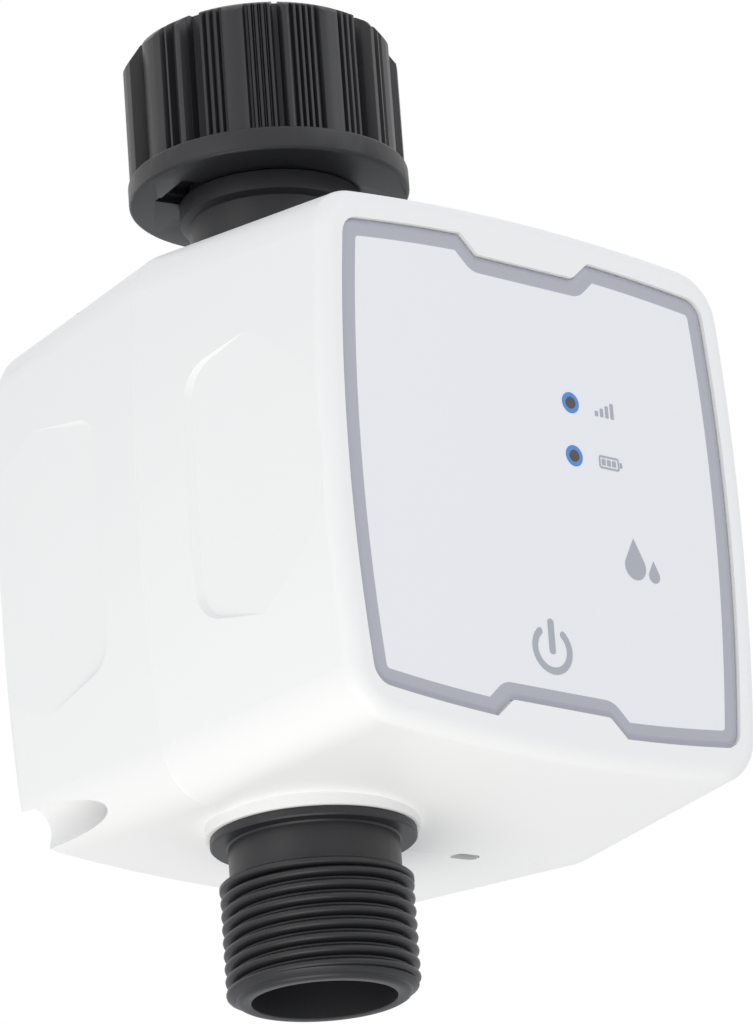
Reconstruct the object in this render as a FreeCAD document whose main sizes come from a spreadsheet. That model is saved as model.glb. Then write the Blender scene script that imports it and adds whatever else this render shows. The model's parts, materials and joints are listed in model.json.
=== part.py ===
# Smart irrigation timer: a battery-powered ball valve that hangs from a garden tap.
# Every sub-part is drawn round the centre of the valve's ball, with +Z up the pipe and
# the front panel facing -Y, and is then lowered so that the origin of the finished part
# is the middle of the inlet nut's open end. All lengths are millimetres.
import FreeCAD, Part
import math
import os
import Sketcher

os.makedirs("parts", exist_ok=True)
doc = FreeCAD.newDocument("IrrigationTimer")
Vector = FreeCAD.Vector

# Driving dimensions: cell alias, value, what it is.
DIMENSIONS = [
    # Housing
    ("housing_centre_x", 14.0, "middle of the housing, to the right of the pipe"),
    ("housing_centre_z", 2.4, "middle of the housing, above the ball"),
    ("waist_width", 82.0, "housing width at the parting line"),
    ("waist_height", 82.4, "housing height at the parting line"),
    ("front_width", 75.2, "housing width at the front face"),
    ("front_height", 77.2, "housing height at the front face"),
    ("rear_width", 76.2, "housing width at the rear face"),
    ("rear_height", 76.2, "housing height at the rear face"),
    ("front_reach", 36.4, "front face, forward of the pipe axis"),
    ("rear_reach", 36.5, "rear face, behind the pipe axis"),
    ("side_bow_radius", 315.0, "gentle bow of all four sides"),
    ("waist_corner", 8.0, "corner radius at the parting line"),
    ("face_corner", 7.5, "corner radius at the front and rear faces"),
    ("seam_depth", 0.2, "shadow line round the parting line, in from the skin"),
    ("seam_width", 0.2, "shadow line, on each side of the parting line"),
    ("front_edge_radius", 2.4, "rounding of the front edge"),
    ("rear_edge_radius", 2.6, "rounding of the rear edge"),
    ("housing_wall", 2.4, "wall of both shells"),
    ("front_wall", 2.1, "wall behind the label"),
    ("rear_wall", 4.9, "wall round the battery opening"),
    # Label and what shines or presses through it
    ("label_width", 68.3, "label, side to side"),
    ("label_height", 68.8, "label, top to bottom"),
    ("label_corner", 3.0, "label corner radius"),
    ("label_bow_radius", 270.0, "bow of the label's sides"),
    ("label_thickness", 0.5, "printed polycarbonate"),
    ("label_depth", 0.9, "label recess below the bezel"),
    ("label_gap", 0.15, "label to the edge of its recess"),
    ("tab_outer_width", 23.2, "bezel tab at the rim"),
    ("tab_inner_width", 17.2, "bezel tab at its tip"),
    ("tab_depth", 2.75, "bezel tab, rim to tip"),
    ("tab_corner", 1.0, "rounding of the tab's corners"),
    ("lamp_offset_x", 6.2, "status lamps, right of the housing centre"),
    ("signal_lamp_z", 15.4, "upper lamp"),
    ("power_lamp_z", 7.6, "lower lamp"),
    ("lamp_diameter", 2.4, "light pipe"),
    ("lamp_flange", 1.0, "light pipe flange, beyond its stem"),
    ("key_z", -20.5, "power key"),
    ("key_diameter", 9.0, "power key plunger"),
    ("key_flange", 1.2, "plunger flange, beyond the plunger"),
    ("key_travel", 0.25, "stroke of the power key"),
    # Side grips
    ("grip_near", 10.4, "grip hollow, from the parting line"),
    ("grip_near_half", 17.2, "half height of the grip near the parting line"),
    ("grip_far_half", 25.0, "half height of the grip at the face"),
    ("grip_corner", 5.0, "corner radius of the grip"),
    ("grip_depth", 1.1, "grip hollow at its near edge"),
    ("grip_lean", 3.0, "lean of the grip floor, in degrees"),
    ("grip_slope", 1.4, "width of the sloped wall round the grip"),
    # Drain on the parting line
    ("drain_x", 13.1, "drain, right of the housing centre"),
    ("drain_length", 4.6, "drain, left to right"),
    ("drain_width", 2.4, "drain, front to back"),
    # Screws of the housing
    ("channel_x", 33.7, "screw channel, left and right of the centre"),
    ("channel_z", 33.5, "screw channel, above and below the centre"),
    ("channel_diameter", 6.6, "screw channel"),
    ("channel_floor", 8.0, "seat of the screw head behind the parting line"),
    ("channel_wall", 1.2, "tube round the channel"),
    ("post_diameter", 5.8, "post in the front shell"),
    ("screw_diameter", 2.9, "housing screw shank"),
    ("screw_head", 5.2, "housing screw head"),
    ("screw_head_height", 2.0, "housing screw head"),
    ("screw_length", 22.0, "housing screw below its head"),
    ("screw_gap", 0.15, "screw to its hole"),
    # Pipe seals and parting gasket
    ("collar_radius", 14.6, "raised ring of the housing round the outlet"),
    ("gland_depth", 7.0, "housing collar round each pipe, down from the waist"),
    ("gland_wall", 4.6, "housing collar, outside the pipe"),
    ("gland_groove", 2.6, "seal groove, beyond the pipe hole"),
    ("gland_width", 2.2, "seal groove, along the pipe"),
    ("gland_inset", 3.6, "seal groove, in from the mouth"),
    ("pipe_gap", 0.3, "pipe to its hole in the housing"),
    ("seal_gap", 0.05, "seal to its groove"),
    ("gasket_inset", 0.7, "parting gasket, in from the outside"),
    ("gasket_width", 1.0, "parting gasket"),
    ("gasket_thickness", 1.0, "parting gasket, half in each shell"),
    # Pipe and valve
    ("pipe_radius", 11.5, "inlet neck"),
    ("bore_radius", 8.0, "waterway"),
    ("ball_radius", 9.5, "ball"),
    ("ball_bore_radius", 6.0, "hole through the ball"),
    ("ball_gap", 0.04, "ball to its seats"),
    ("seat_radius", 10.4, "outside of the seats"),
    ("seat_bore_radius", 6.4, "inside of the seats"),
    ("seat_reach", 9.4, "seat back, from the ball centre"),
    ("chamber_radius", 14.6, "valve chamber"),
    ("chamber_top", 14.0, "top of the chamber"),
    ("chamber_bottom", 15.0, "bottom of the chamber, below the ball"),
    ("spigot_gap", 0.1, "outlet spigot to the chamber"),
    ("boss_radius", 6.4, "stem boss"),
    ("ear_radius", 3.0, "screw ears between the valve and its outlet"),
    ("ear_reach", 15.6, "those ears, out from the axis"),
    ("ear_height", 6.0, "ears on the valve"),
    ("union_thickness", 2.5, "ears and disc on the outlet"),
    ("stem_collar", 3.9, "collar inside the chamber that holds the stem in"),
    ("stem_collar_thickness", 1.0, "that collar"),
    ("boss_reach", 17.0, "stem boss, forward of the axis"),
    ("lug_width", 27.0, "gearbox lug across the chamber"),
    ("lug_height", 22.0, "gearbox lug, top to bottom"),
    ("lug_thickness", 2.6, "gearbox lug"),
    ("stem_radius", 3.2, "stem"),
    ("stem_gap", 0.05, "stem in its bore"),
    ("stem_key_width", 3.0, "tongue of the stem in the ball"),
    ("stem_key_depth", 2.2, "depth of that tongue"),
    ("stem_seal_width", 1.8, "groove of each stem seal"),
    ("stem_seal_depth", 0.9, "depth of that groove"),
    ("outlet_flange_gap", 0.1, "outlet flange, below the housing"),
    ("outlet_flange_thickness", 1.25, "outlet flange"),
    ("outlet_flange_radius", 14.1, "outlet flange"),
    ("outlet_neck_radius", 11.7, "outlet neck"),
    ("thread_radius", 13.2, "crest of the three-quarter inch pipe thread"),
    ("outlet_neck_length", 5.45, "outlet neck, between the flange and the thread"),
    ("thread_length", 14.5, "threaded length of the outlet"),
    ("outlet_tip_length", 1.9, "plain end of the outlet, below the thread"),
    ("pilot_radius", 11.9, "plain end of the outlet"),
    ("outlet_bore_radius", 9.87, "mouth of the outlet"),
    ("outlet_bore_depth", 14.0, "depth of the wide mouth"),
    ("outlet_seal_width", 2.0, "groove of the outlet seal"),
    ("outlet_seal_depth", 1.4, "depth of that groove"),
    # Swivel nut
    ("mouth_height", 77.0, "open end of the nut, above the ball"),
    ("nut_floor_low", 53.55, "underside of the nut's flange"),
    ("nut_flange_thickness", 3.4, "nut flange"),
    ("nut_flange_radius", 19.7, "nut flange"),
    ("nut_radius", 18.3, "crests of the grip lobes"),
    ("nut_rib_drop", 0.6, "crests of the fine ribs, in from the lobes"),
    ("nut_wing_radius", 19.6, "crest of the wide side lobes"),
    ("nut_wing_drop", 3.7, "side lobes end below the rim"),
    ("nut_rim_radius", 16.2, "rim round the open end"),
    ("nut_core_radius", 16.3, "floor of the grip grooves"),
    ("nut_thread_radius", 12.06, "inside of the nut's thread"),
    ("nut_thread_depth", 12.0, "threaded length"),
    ("nut_room_radius", 13.4, "chamber below the thread"),
    ("nut_chamfer", 1.85, "bevel from the lobes to the rim, along the axis"),
    ("nut_rest_angle", -119.0, "rest position of the nut"),
    ("nut_slot_angle", 168.0, "clip window in the underside of the flange"),
    ("nut_slot_length", 6.8, "clip window, across"),
    ("nut_slot_reach", 15.3, "clip window, out from the axis"),
    ("nut_slot_depth", 1.8, "clip window"),
    ("nut_step_length", 1.3, "shallow end of the clip window"),
    ("step_radius", 12.7, "step on the pipe under the nut"),
    ("step_height", 3.2, "step on the pipe under the nut"),
    ("nut_end_gap", 0.25, "play of the nut along the pipe"),
    ("clip_thickness", 1.2, "retaining clip"),
    ("clip_radius", 13.0, "retaining clip, outside"),
    ("clip_groove_radius", 10.3, "groove of the retaining clip"),
    ("pipe_drop", 15.1, "top of the inlet pipe, below the open end of the nut"),
    ("pipe_top_radius", 11.2, "pipe above the clip"),
    ("washer_thickness", 2.8, "tap washer"),
    ("washer_radius", 11.9, "tap washer, outside"),
    ("washer_bore", 7.2, "tap washer, inside"),
    ("strainer_recess", 1.0, "seat of the strainer rim in the pipe"),
    ("strainer_radius", 7.0, "strainer cup, outside"),
    ("strainer_wall", 0.8, "strainer cup"),
    ("strainer_depth", 10.0, "strainer cup"),
    ("strainer_rim", 8.9, "strainer rim"),
    ("strainer_slots", 8, "windows round the strainer"),
    ("strainer_slot_width", 2.6, "those windows"),
    # Gear drive
    ("gear_floor", 17.2, "gearbox floor, forward of the axis"),
    ("gear_floor_thickness", 1.5, "gearbox floor"),
    ("gear_wall", 1.5, "gearbox side wall"),
    ("gear_cover_face", 30.0, "front of the gearbox cover"),
    ("gear_cover_thickness", 1.4, "gearbox cover"),
    ("gear_side_gap", 0.3, "gear faces to their neighbours"),
    ("output_gear_face", 3.6, "output gear width"),
    ("second_gear_face", 2.6, "second gear width"),
    ("first_gear_face", 2.4, "first gear width"),
    ("wheel_teeth", 36, "teeth of the three large wheels"),
    ("pinion_teeth", 12, "teeth of the three pinions"),
    ("output_module", 1.0, "module at the output"),
    ("second_module", 0.8, "module of the middle pair"),
    ("first_module", 0.6, "module at the motor"),
    ("second_gear_angle", 21.0, "second gear, seen from the output"),
    ("first_gear_angle", -60.0, "first gear, seen from the second"),
    ("motor_angle", -100.0, "motor, seen from the first gear"),
    ("pin_radius", 1.5, "gear pins"),
    ("pin_gap", 0.05, "gear on its pin"),
    ("gear_hub_radius", 5.0, "hub of the output gear"),
    ("gear_hub_height", 2.4, "hub of the output gear, beyond its face"),
    ("square_drive", 4.4, "square of the stem in the output gear"),
    ("drive_gap", 0.04, "square drive"),
    ("cam_radius", 7.6, "cam lobe on the output hub"),
    ("cam_width", 3.0, "cam lobe on the output hub"),
    ("tooth_height", 0.92, "tooth above the pitch circle, in modules"),
    ("tooth_depth", 1.2, "tooth below the pitch circle, in modules"),
    ("tooth_tip", 0.52, "tooth width at its tip, in modules"),
    ("tooth_foot", 1.9, "tooth width at its foot, in modules"),
    ("journal_radius", 2.2, "front bearing of the stem"),
    ("case_post", 2.2, "gearbox screw post"),
    ("case_left", 20.8, "gearbox, left of the stem"),
    ("case_right", 45.5, "gearbox, right of the stem"),
    ("case_top", 26.0, "gearbox, above the stem"),
    ("case_bottom", 33.0, "gearbox, below the stem"),
    ("switch_length", 8.0, "limit switch"),
    ("switch_width", 4.2, "limit switch"),
    ("switch_reach", 8.6, "limit switch body, from the stem"),
    ("switch_button", 0.7, "limit switch button"),
    ("mount_screw_x", 10.5, "screws through the gearbox floor into the lug"),
    ("mount_screw_z", 7.5, "screws through the gearbox floor into the lug"),
    ("gear_rim_gap", 0.3, "gears of neighbouring layers"),
    # Motor
    ("motor_radius", 12.2, "motor can"),
    ("motor_length", 24.0, "motor can"),
    ("motor_flat", 20.4, "motor can across its flats"),
    ("motor_boss_radius", 3.0, "front bearing boss"),
    ("motor_boss_height", 1.2, "front bearing boss"),
    ("shaft_radius", 1.0, "motor shaft"),
    ("shaft_gap", 0.05, "motor shaft in its bearings"),
    ("motor_screw_pitch", 16.0, "motor screws, centre to centre"),
    ("small_screw", 2.2, "small screws, shank"),
    ("small_head", 4.0, "small screws, head"),
    ("small_head_height", 1.4, "small screws, head"),
    ("small_screw_length", 6.0, "small screws below the head"),
    # Electronics
    ("board_width", 55.0, "main board"),
    ("board_height", 62.0, "main board"),
    ("board_centre_z", 5.0, "main board, above the ball"),
    ("board_thickness", 1.6, "main board"),
    ("board_face", 31.8, "front of the main board"),
    ("board_screw_x", 24.5, "board screws, left and right of the centre"),
    ("board_screw_z", 28.2, "board screws, above and below the board centre"),
    ("switch_size", 5.2, "tact switch"),
    ("switch_height", 0.6, "tact switch body"),
    ("lamp_chip", 1.8, "status lamp"),
    ("lamp_chip_height", 0.6, "status lamp"),
    ("radio_width", 22.0, "radio module"),
    ("radio_depth", 8.6, "radio module, top to bottom"),
    ("radio_height", 2.6, "radio module"),
    ("top_strip_z", 31.2, "radio module and sockets, above the ball"),
    ("socket_width", 6.4, "wire sockets"),
    ("socket_depth", 5.0, "wire sockets, top to bottom"),
    ("socket_height", 4.6, "wire sockets"),
    ("socket_x", 17.5, "wire sockets, left and right of the centre"),
    ("chip_size", 7.0, "controller chip"),
    ("chip_height", 1.0, "controller chip"),
    ("chip_z", 24.0, "controller chip"),
    # Batteries
    ("cell_diameter", 14.3, "AA cell"),
    ("cell_length", 50.0, "AA cell, end to end"),
    ("cell_pitch", 14.5, "cell to cell"),
    ("cell_nub_radius", 2.7, "positive nub"),
    ("cell_nub_length", 1.1, "positive nub"),
    ("cell_count", 4, "cells side by side"),
    ("cell_inset", 9.9, "cell centres, in from the rear face"),
    ("pocket_width", 58.6, "battery pocket"),
    ("pocket_height", 58.4, "battery pocket"),
    ("pocket_depth", 17.3, "battery pocket, in from the rear face"),
    ("pocket_wall", 1.6, "battery pocket"),
    ("contact_thickness", 0.5, "contact plates"),
    ("contact_width", 9.0, "contact plates"),
    ("spring_width", 5.0, "leaf springs of the contacts"),
    ("cover_width", 63.8, "battery cover"),
    ("cover_height", 62.8, "battery cover"),
    ("cover_ear_radius", 3.0, "ears of the battery cover"),
    ("cover_thickness", 2.4, "battery cover"),
    ("cover_corner", 5.0, "battery cover"),
    ("cover_gap", 0.2, "battery cover to its recess"),
    ("cover_screw_x", 32.0, "cover screws, left and right of the centre"),
    ("cover_seal_inset", 0.3, "cover seal, out from the pocket"),
    ("cover_seal_width", 1.0, "cover seal"),
    ("cover_seal_height", 1.2, "cover seal"),
]

sheet = doc.addObject("Spreadsheet::Sheet", "Sizes")
for row, (alias, value, note) in enumerate(DIMENSIONS, start=1):
    sheet.set("A%d" % row, alias)
    sheet.set("B%d" % row, str(value))
    sheet.set("C%d" % row, note)
    sheet.setAlias("B%d" % row, alias)
doc.recompute()


class Size:
    """A length with the cell formula that gives it, so that a drawing can be bound to it."""

    def __init__(self, value, formula):
        self.value = float(value)
        self.formula = formula

    def joined(self, other, sign, result):
        return Size(result, "(%s %s %s)" % (self.formula, sign, as_size(other).formula))

    def __add__(self, other):
        return self.joined(other, "+", self.value + float(other))

    def __sub__(self, other):
        return self.joined(other, "-", self.value - float(other))

    def __mul__(self, other):
        return self.joined(other, "*", self.value * float(other))

    def __truediv__(self, other):
        return self.joined(other, "/", self.value / float(other))

    def __radd__(self, other):
        return as_size(other) + self

    def __rsub__(self, other):
        return as_size(other) - self

    def __rmul__(self, other):
        return as_size(other) * self

    def __neg__(self):
        return Size(-self.value, "(0 - %s)" % self.formula)

    def __float__(self):
        return self.value


def as_size(number):
    return number if isinstance(number, Size) else Size(number, repr(float(number)))


def cosine(angle):
    return Size(math.cos(math.radians(float(angle))), "cos(%s * 1 deg)" % angle.formula)


def sine(angle):
    return Size(math.sin(math.radians(float(angle))), "sin(%s * 1 deg)" % angle.formula)


def root(square):
    return Size(math.sqrt(float(square)), "sqrt(%s)" % square.formula)


class Sheet:
    """The driving dimensions by name."""

    def __getattr__(self, alias):
        return Size(sheet.get(alias), "Sizes." + alias)


S = Sheet()


def bind(item, name, size):
    """Ties a property of an object to its cells."""
    item.setExpression(name, as_size(size).formula)


def fix(sketch, kind, *rest):
    """Adds a dimension to a sketch; the last argument is its size."""
    size = as_size(rest[-1])
    index = sketch.addConstraint(Sketcher.Constraint(kind, *rest[:-1], size.value))
    sketch.setExpression("Constraints[%d]" % index, size.formula)


def pin_point(sketch, item, point, x, y):
    """Holds one point of a sketch at x and y from the sketch's origin."""
    fix(sketch, "DistanceX", -1, 1, item, point, x)
    fix(sketch, "DistanceY", -1, 1, item, point, y)


def circle(x, y, radius):
    """Draws a circle."""
    def draw(sketch):
        centre = Vector(float(x), float(y), 0)
        item = sketch.addGeometry(Part.Circle(centre, Vector(0, 0, 1), float(radius)))
        pin_point(sketch, item, 3, x, y)
        fix(sketch, "Radius", item, radius)
    return draw


def several(*drawings):
    """Draws more than one closed line in the same sketch."""
    def draw(sketch):
        for drawing in drawings:
            drawing(sketch)
    return draw


def half_disc(radius, front):
    """Draws half a disc about the origin, in front of or behind the parting line."""
    def draw(sketch):
        turn = math.pi if front else 0.0
        full = Part.Circle(Vector(), Vector(0, 0, 1), float(radius))
        arc = sketch.addGeometry(Part.ArcOfCircle(full, turn, turn + math.pi))
        curve = sketch.Geometry[arc]
        line = sketch.addGeometry(Part.LineSegment(curve.EndPoint, curve.StartPoint))
        sketch.addConstraint(Sketcher.Constraint("Coincident", arc, 3, -1, 1))
        fix(sketch, "Radius", arc, radius)
        sketch.addConstraint(Sketcher.Constraint("Coincident", arc, 2, line, 1))
        sketch.addConstraint(Sketcher.Constraint("Coincident", line, 2, arc, 1))
        sketch.addConstraint(Sketcher.Constraint("PointOnObject", line, 1, -1))
        sketch.addConstraint(Sketcher.Constraint("PointOnObject", line, 2, -1))
    return draw


def ring(x, y, outer, inner):
    """Draws two circles about one centre."""
    return several(circle(x, y, outer), circle(x, y, inner))


def polygon(points):
    """Draws a closed outline through corners, each (x, y) or (x, y, rounding)."""
    def draw(sketch):
        count = len(points)
        spots = [Vector(float(p[0]), float(p[1]), 0) for p in points]
        rounds = [p[2] if len(p) > 2 else None for p in points]
        starts, ends, arcs = [], [], []
        for i, spot in enumerate(spots):
            if rounds[i] is None:
                starts.append(spot)
                ends.append(spot)
                arcs.append(None)
                continue
            radius = float(rounds[i])
            back = (spots[i - 1] - spot).normalize()
            ahead = (spots[(i + 1) % count] - spot).normalize()
            half = back.getAngle(ahead) / 2
            run = radius / math.tan(half)
            centre = spot + (back + ahead).normalize() * (radius / math.sin(half))
            ends.append(spot + back * run)
            starts.append(spot + ahead * run)
            arcs.append((centre, radius, back.cross(ahead).z < 0))
        lines = []
        for i in range(count):
            line = Part.LineSegment(starts[i], ends[(i + 1) % count])
            lines.append(sketch.addGeometry(line))
        for i in range(count):
            before, after = lines[i - 1], lines[i]
            if arcs[i] is None:
                sketch.addConstraint(Sketcher.Constraint("Coincident", before, 2, after, 1))
                pin_point(sketch, after, 1, points[i][0], points[i][1])
                continue
            centre, radius, left = arcs[i]
            first, last = (ends[i], starts[i]) if left else (starts[i], ends[i])
            turn = [math.atan2(p.y - centre.y, p.x - centre.x) for p in (first, last)]
            full = Part.Circle(centre, Vector(0, 0, 1), radius)
            arc = sketch.addGeometry(Part.ArcOfCircle(full, turn[0], turn[1]))
            corner = sketch.addGeometry(Part.Point(spots[i]), True)
            pin_point(sketch, corner, 1, points[i][0], points[i][1])
            sketch.addConstraint(Sketcher.Constraint("PointOnObject", corner, 1, before))
            sketch.addConstraint(Sketcher.Constraint("PointOnObject", corner, 1, after))
            near, far = (1, 2) if left else (2, 1)
            sketch.addConstraint(Sketcher.Constraint("Tangent", before, 2, arc, near))
            sketch.addConstraint(Sketcher.Constraint("Tangent", arc, far, after, 1))
            fix(sketch, "Radius", arc, rounds[i])
    return draw


def box(x0, x1, y0, y1, corner=None):
    """Draws a rectangle, with rounded corners if a radius is given."""
    corners = [(x0, y0), (x1, y0), (x1, y1), (x0, y1)]
    if corner is not None:
        corners = [spot + (corner,) for spot in corners]
    return polygon(corners)


def centred_box(x, y, width, height, corner=None):
    return box(x - width / 2, x + width / 2, y - height / 2, y + height / 2, corner)


def bowed_box(x, y, width, height, corner, bow):
    """Draws the rounded square of the housing: four bowed sides and four round corners."""
    def draw(sketch):
        middle = Vector(float(x), float(y), 0)
        side = float(bow)
        reach = side - float(corner)
        right = Vector(float(width) / 2 - side, 0, 0)
        top = Vector(0, float(height) / 2 - side, 0)
        span = top - right
        lift = math.sqrt(reach ** 2 - span.Length ** 2 / 4)
        nook = (right + top) * 0.5 + Vector(span.y, -span.x, 0).normalize() * lift
        if nook.x < 0:
            nook = (right + top) * 0.5 - Vector(span.y, -span.x, 0).normalize() * lift
        low = math.atan2(nook.y - right.y, nook.x - right.x)
        high = math.atan2(nook.y - top.y, nook.x - top.x)
        quarter = math.pi / 2
        sides = [(right, -low, low), (top, high, 2 * quarter - high),
                 (-right, 2 * quarter - low, 2 * quarter + low),
                 (-top, 2 * quarter + high, 4 * quarter - high)]
        nooks = [(nook, low, high), (Vector(-nook.x, nook.y, 0), 2 * quarter - high, 2 * quarter - low),
                 (-nook, 2 * quarter + low, 2 * quarter + high),
                 (Vector(nook.x, -nook.y, 0), 4 * quarter - high, 4 * quarter - low)]
        items = []
        for (centre, start, end), (turn, first, last) in zip(sides, nooks):
            for spot, radius, one, two in ((centre, side, start, end),
                                           (turn, float(corner), first, last)):
                full = Part.Circle(spot + middle, Vector(0, 0, 1), radius)
                items.append(sketch.addGeometry(Part.ArcOfCircle(full, one, two)))
        half_width, half_height = width / 2 - bow, height / 2 - bow
        places = [(x + half_width, y), (x, y + half_height),
                  (x - half_width, y), (x, y - half_height)]
        for number, place in enumerate(places):
            pin_point(sketch, items[2 * number], 3, *place)
            fix(sketch, "Radius", items[2 * number], bow)
            fix(sketch, "Radius", items[2 * number + 1], corner)
        for number, item in enumerate(items):
            follower = items[(number + 1) % len(items)]
            sketch.addConstraint(Sketcher.Constraint("Tangent", item, 2, follower, 1))
    return draw


PLANES = {"X": "YZ_Plane", "Y": "XZ_Plane", "Z": "XY_Plane"}
pieces = []


class Piece:
    """One separate solid: a body, its features in order, and its place in the timer."""

    def __init__(self, name):
        self.body = doc.addObject("PartDesign::Body", name)
        self.body.Label = name
        self.count = 0
        pieces.append(self.body)
        self.settle(0, 0, -S.mouth_height)

    def settle(self, x, y, z, axis=None, angle=0):
        """Places the piece, turned about one axis first."""
        if axis is not None:
            self.body.Placement = FreeCAD.Placement(Vector(), FreeCAD.Rotation(axis, angle))
        for letter, size in zip("xyz", (x, y, z)):
            bind(self.body, "Placement.Base." + letter, size)

    def face_front(self, x, y, z):
        """Turns a piece that was drawn along Z so that it points to the front."""
        self.settle(x, y, z - S.mouth_height, Vector(1, 0, 0), 90)

    def sketch(self, axis, offset, draw):
        self.count += 1
        sketch = self.body.newObject("Sketcher::SketchObject", "Sketch%d" % self.count)
        origin = self.body.Origin.OriginFeatures
        plane = [item for item in origin if item.Role == PLANES[axis]][0]
        sketch.AttachmentSupport = [(plane, "")]
        sketch.MapMode = "FlatFace"
        bind(sketch, "AttachmentOffset.Base.z", offset)
        draw(sketch)
        return sketch

    def feature(self, kind, sketch=None):
        self.count += 1
        item = self.body.newObject("PartDesign::" + kind, "%s%d" % (kind, self.count))
        if sketch is not None:
            item.Profile = sketch
        return item

    def volume(self):
        doc.recompute()
        return self.body.Shape.Volume

    def pad(self, axis, low, high, draw):
        """Adds the drawn outline between two heights along an axis."""
        low, high = as_size(low), as_size(high)
        start = -high if axis == "Y" else low
        pad = self.feature("Pad", self.sketch(axis, start, draw))
        bind(pad, "Length", high - low)
        return pad

    def pocket(self, axis, low, high, draw):
        """Cuts the drawn outline between two heights along an axis."""
        low, high = as_size(low), as_size(high)
        before = self.volume()
        start = -low if axis == "Y" else high
        pocket = self.feature("Pocket", self.sketch(axis, start, draw))
        pocket.Type = 0
        bind(pocket, "Length", high - low)
        if not self.volume() < before:
            raise RuntimeError("%s: a cut removes nothing" % self.body.Label)
        return pocket

    def turn(self, points, about="V_Axis"):
        """Revolves a closed outline of (radius, height) about the body's Z axis."""
        sketch = self.sketch("Y", 0, polygon(points))
        revolve = self.feature("Revolution", sketch)
        revolve.ReferenceAxis = (sketch, [about])
        revolve.Angle = 360.0
        return revolve

    def groove(self, points):
        """Cuts a closed outline of (radius, height) round the body's Z axis."""
        before = self.volume()
        sketch = self.sketch("Y", 0, polygon(points))
        groove = self.feature("Groove", sketch)
        groove.ReferenceAxis = (sketch, ["V_Axis"])
        groove.Angle = 360.0
        if not self.volume() < before:
            raise RuntimeError("%s: a groove removes nothing" % self.body.Label)
        return groove

    def loft(self, kind, sections):
        """Joins outlines at several depths, given as (height, drawing), by straight walls."""
        before = self.volume() if kind == "SubtractiveLoft" else 0
        sketches = [self.sketch("Y", -as_size(height), draw) for height, draw in sections]
        loft = self.feature(kind, sketches[0])
        loft.Sections = sketches[1:]
        loft.Ruled = True
        if kind == "SubtractiveLoft" and not self.volume() < before:
            raise RuntimeError("%s: a hollow removes nothing" % self.body.Label)
        return loft

    def round_edges(self, radius, chosen, kind="Fillet"):
        """Rounds or bevels the edges that a test picks."""
        doc.recompute()
        base = self.body.Tip
        names = ["Edge%d" % (i + 1) for i, edge in enumerate(base.Shape.Edges) if chosen(edge)]
        if not names:
            raise RuntimeError("%s: no edge to round" % self.body.Label)
        item = self.feature(kind)
        item.Base = (base, names)
        bind(item, "Radius" if kind == "Fillet" else "Size", radius)
        return item

    def around(self, feature, count, angle=360.0):
        """Repeats a feature round the body's Z axis."""
        pattern = self.feature("PolarPattern")
        pattern.Originals = [feature]
        axis = [item for item in self.body.Origin.OriginFeatures if item.Role == "Z_Axis"][0]
        pattern.Axis = (axis, [""])
        pattern.Angle = angle
        bind(pattern, "Occurrences", count)
        self.body.Tip = pattern
        return pattern


def shape_piece(name, shape):
    """A piece whose shape is worked out directly, such as a group of equal fasteners."""
    item = doc.addObject("Part::Feature", name)
    item.Label = name
    item.Shape = shape
    bind(item, "Placement.Base.z", -S.mouth_height)
    pieces.append(item)
    return item


def tangent(angle):
    return Size(math.tan(math.radians(float(angle))), "tan(%s * 1 deg)" % angle.formula)


CENTRE_X, CENTRE_Z = S.housing_centre_x, S.housing_centre_z
STATIONS = {
    "waist": (S.waist_width, S.waist_height, S.waist_corner),
    "front": (S.front_width, S.front_height, S.face_corner),
    "rear": (S.rear_width, S.rear_height, S.face_corner),
}
HOLE_RADIUS = S.pipe_radius + S.pipe_gap
OUTLET_FLANGE = S.waist_height / 2 - S.housing_centre_z + S.outlet_flange_gap
COLLAR_FACE = OUTLET_FLANGE - S.seal_gap
PIPE_TOP = S.mouth_height - S.pipe_drop
THREAD_START = OUTLET_FLANGE + S.outlet_flange_thickness + S.outlet_neck_length
THREAD_STOP = THREAD_START + S.thread_length
OUTLET_END = THREAD_STOP + S.outlet_tip_length
POCKET_FLOOR = S.rear_reach - S.pocket_depth
CELL_AXIS = S.rear_reach - S.cell_inset
FRONT_INSIDE = S.front_reach - S.label_depth - S.front_wall
REAR_INSIDE = S.rear_reach - S.rear_wall
LAMPS = [(CENTRE_X + S.lamp_offset_x, S.signal_lamp_z), (CENTRE_X + S.lamp_offset_x, S.power_lamp_z)]
CORNERS = [(1, 1), (-1, 1), (-1, -1), (1, -1)]


def screw_spot(side, level):
    return CENTRE_X + S.channel_x * side, CENTRE_Z + S.channel_z * level


# Housing


def section(station, inset=0.0, share=1.0):
    """Outline of the housing, part of the way from the waist to a face, drawn in by an inset."""
    width, height, corner = [start + (end - start) * share
                             for start, end in zip(STATIONS["waist"], STATIONS[station])]
    return bowed_box(CENTRE_X, CENTRE_Z, width - as_size(inset) * 2, height - as_size(inset) * 2,
                     corner - inset, S.side_bow_radius - inset)


def add_skin(shell, station, reach, radius, sign):
    """The outside of a shell: straight drafted sides, then a rounded edge to the face."""
    straight = reach - radius
    share = straight / reach
    lip = (S.seam_width * sign, section(station, 0, S.seam_width / reach))
    shell.loft("AdditiveLoft", [(0, section("waist", S.seam_depth)), lip,
                                (straight * sign, section(station, 0, share))])
    bands = []
    for step in range(4):
        lean = as_size(30.0 * step)
        bands.append(((straight + radius * sine(lean)) * sign,
                      section(station, radius * (1 - cosine(lean)), share)))
    shell.loft("AdditiveLoft", bands).Ruled = False


def in_plane(y):
    """A test for edges that lie at one depth."""
    return lambda edge: all(abs(v.Y - float(y)) < 0.01 for v in edge.Vertexes)


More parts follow.
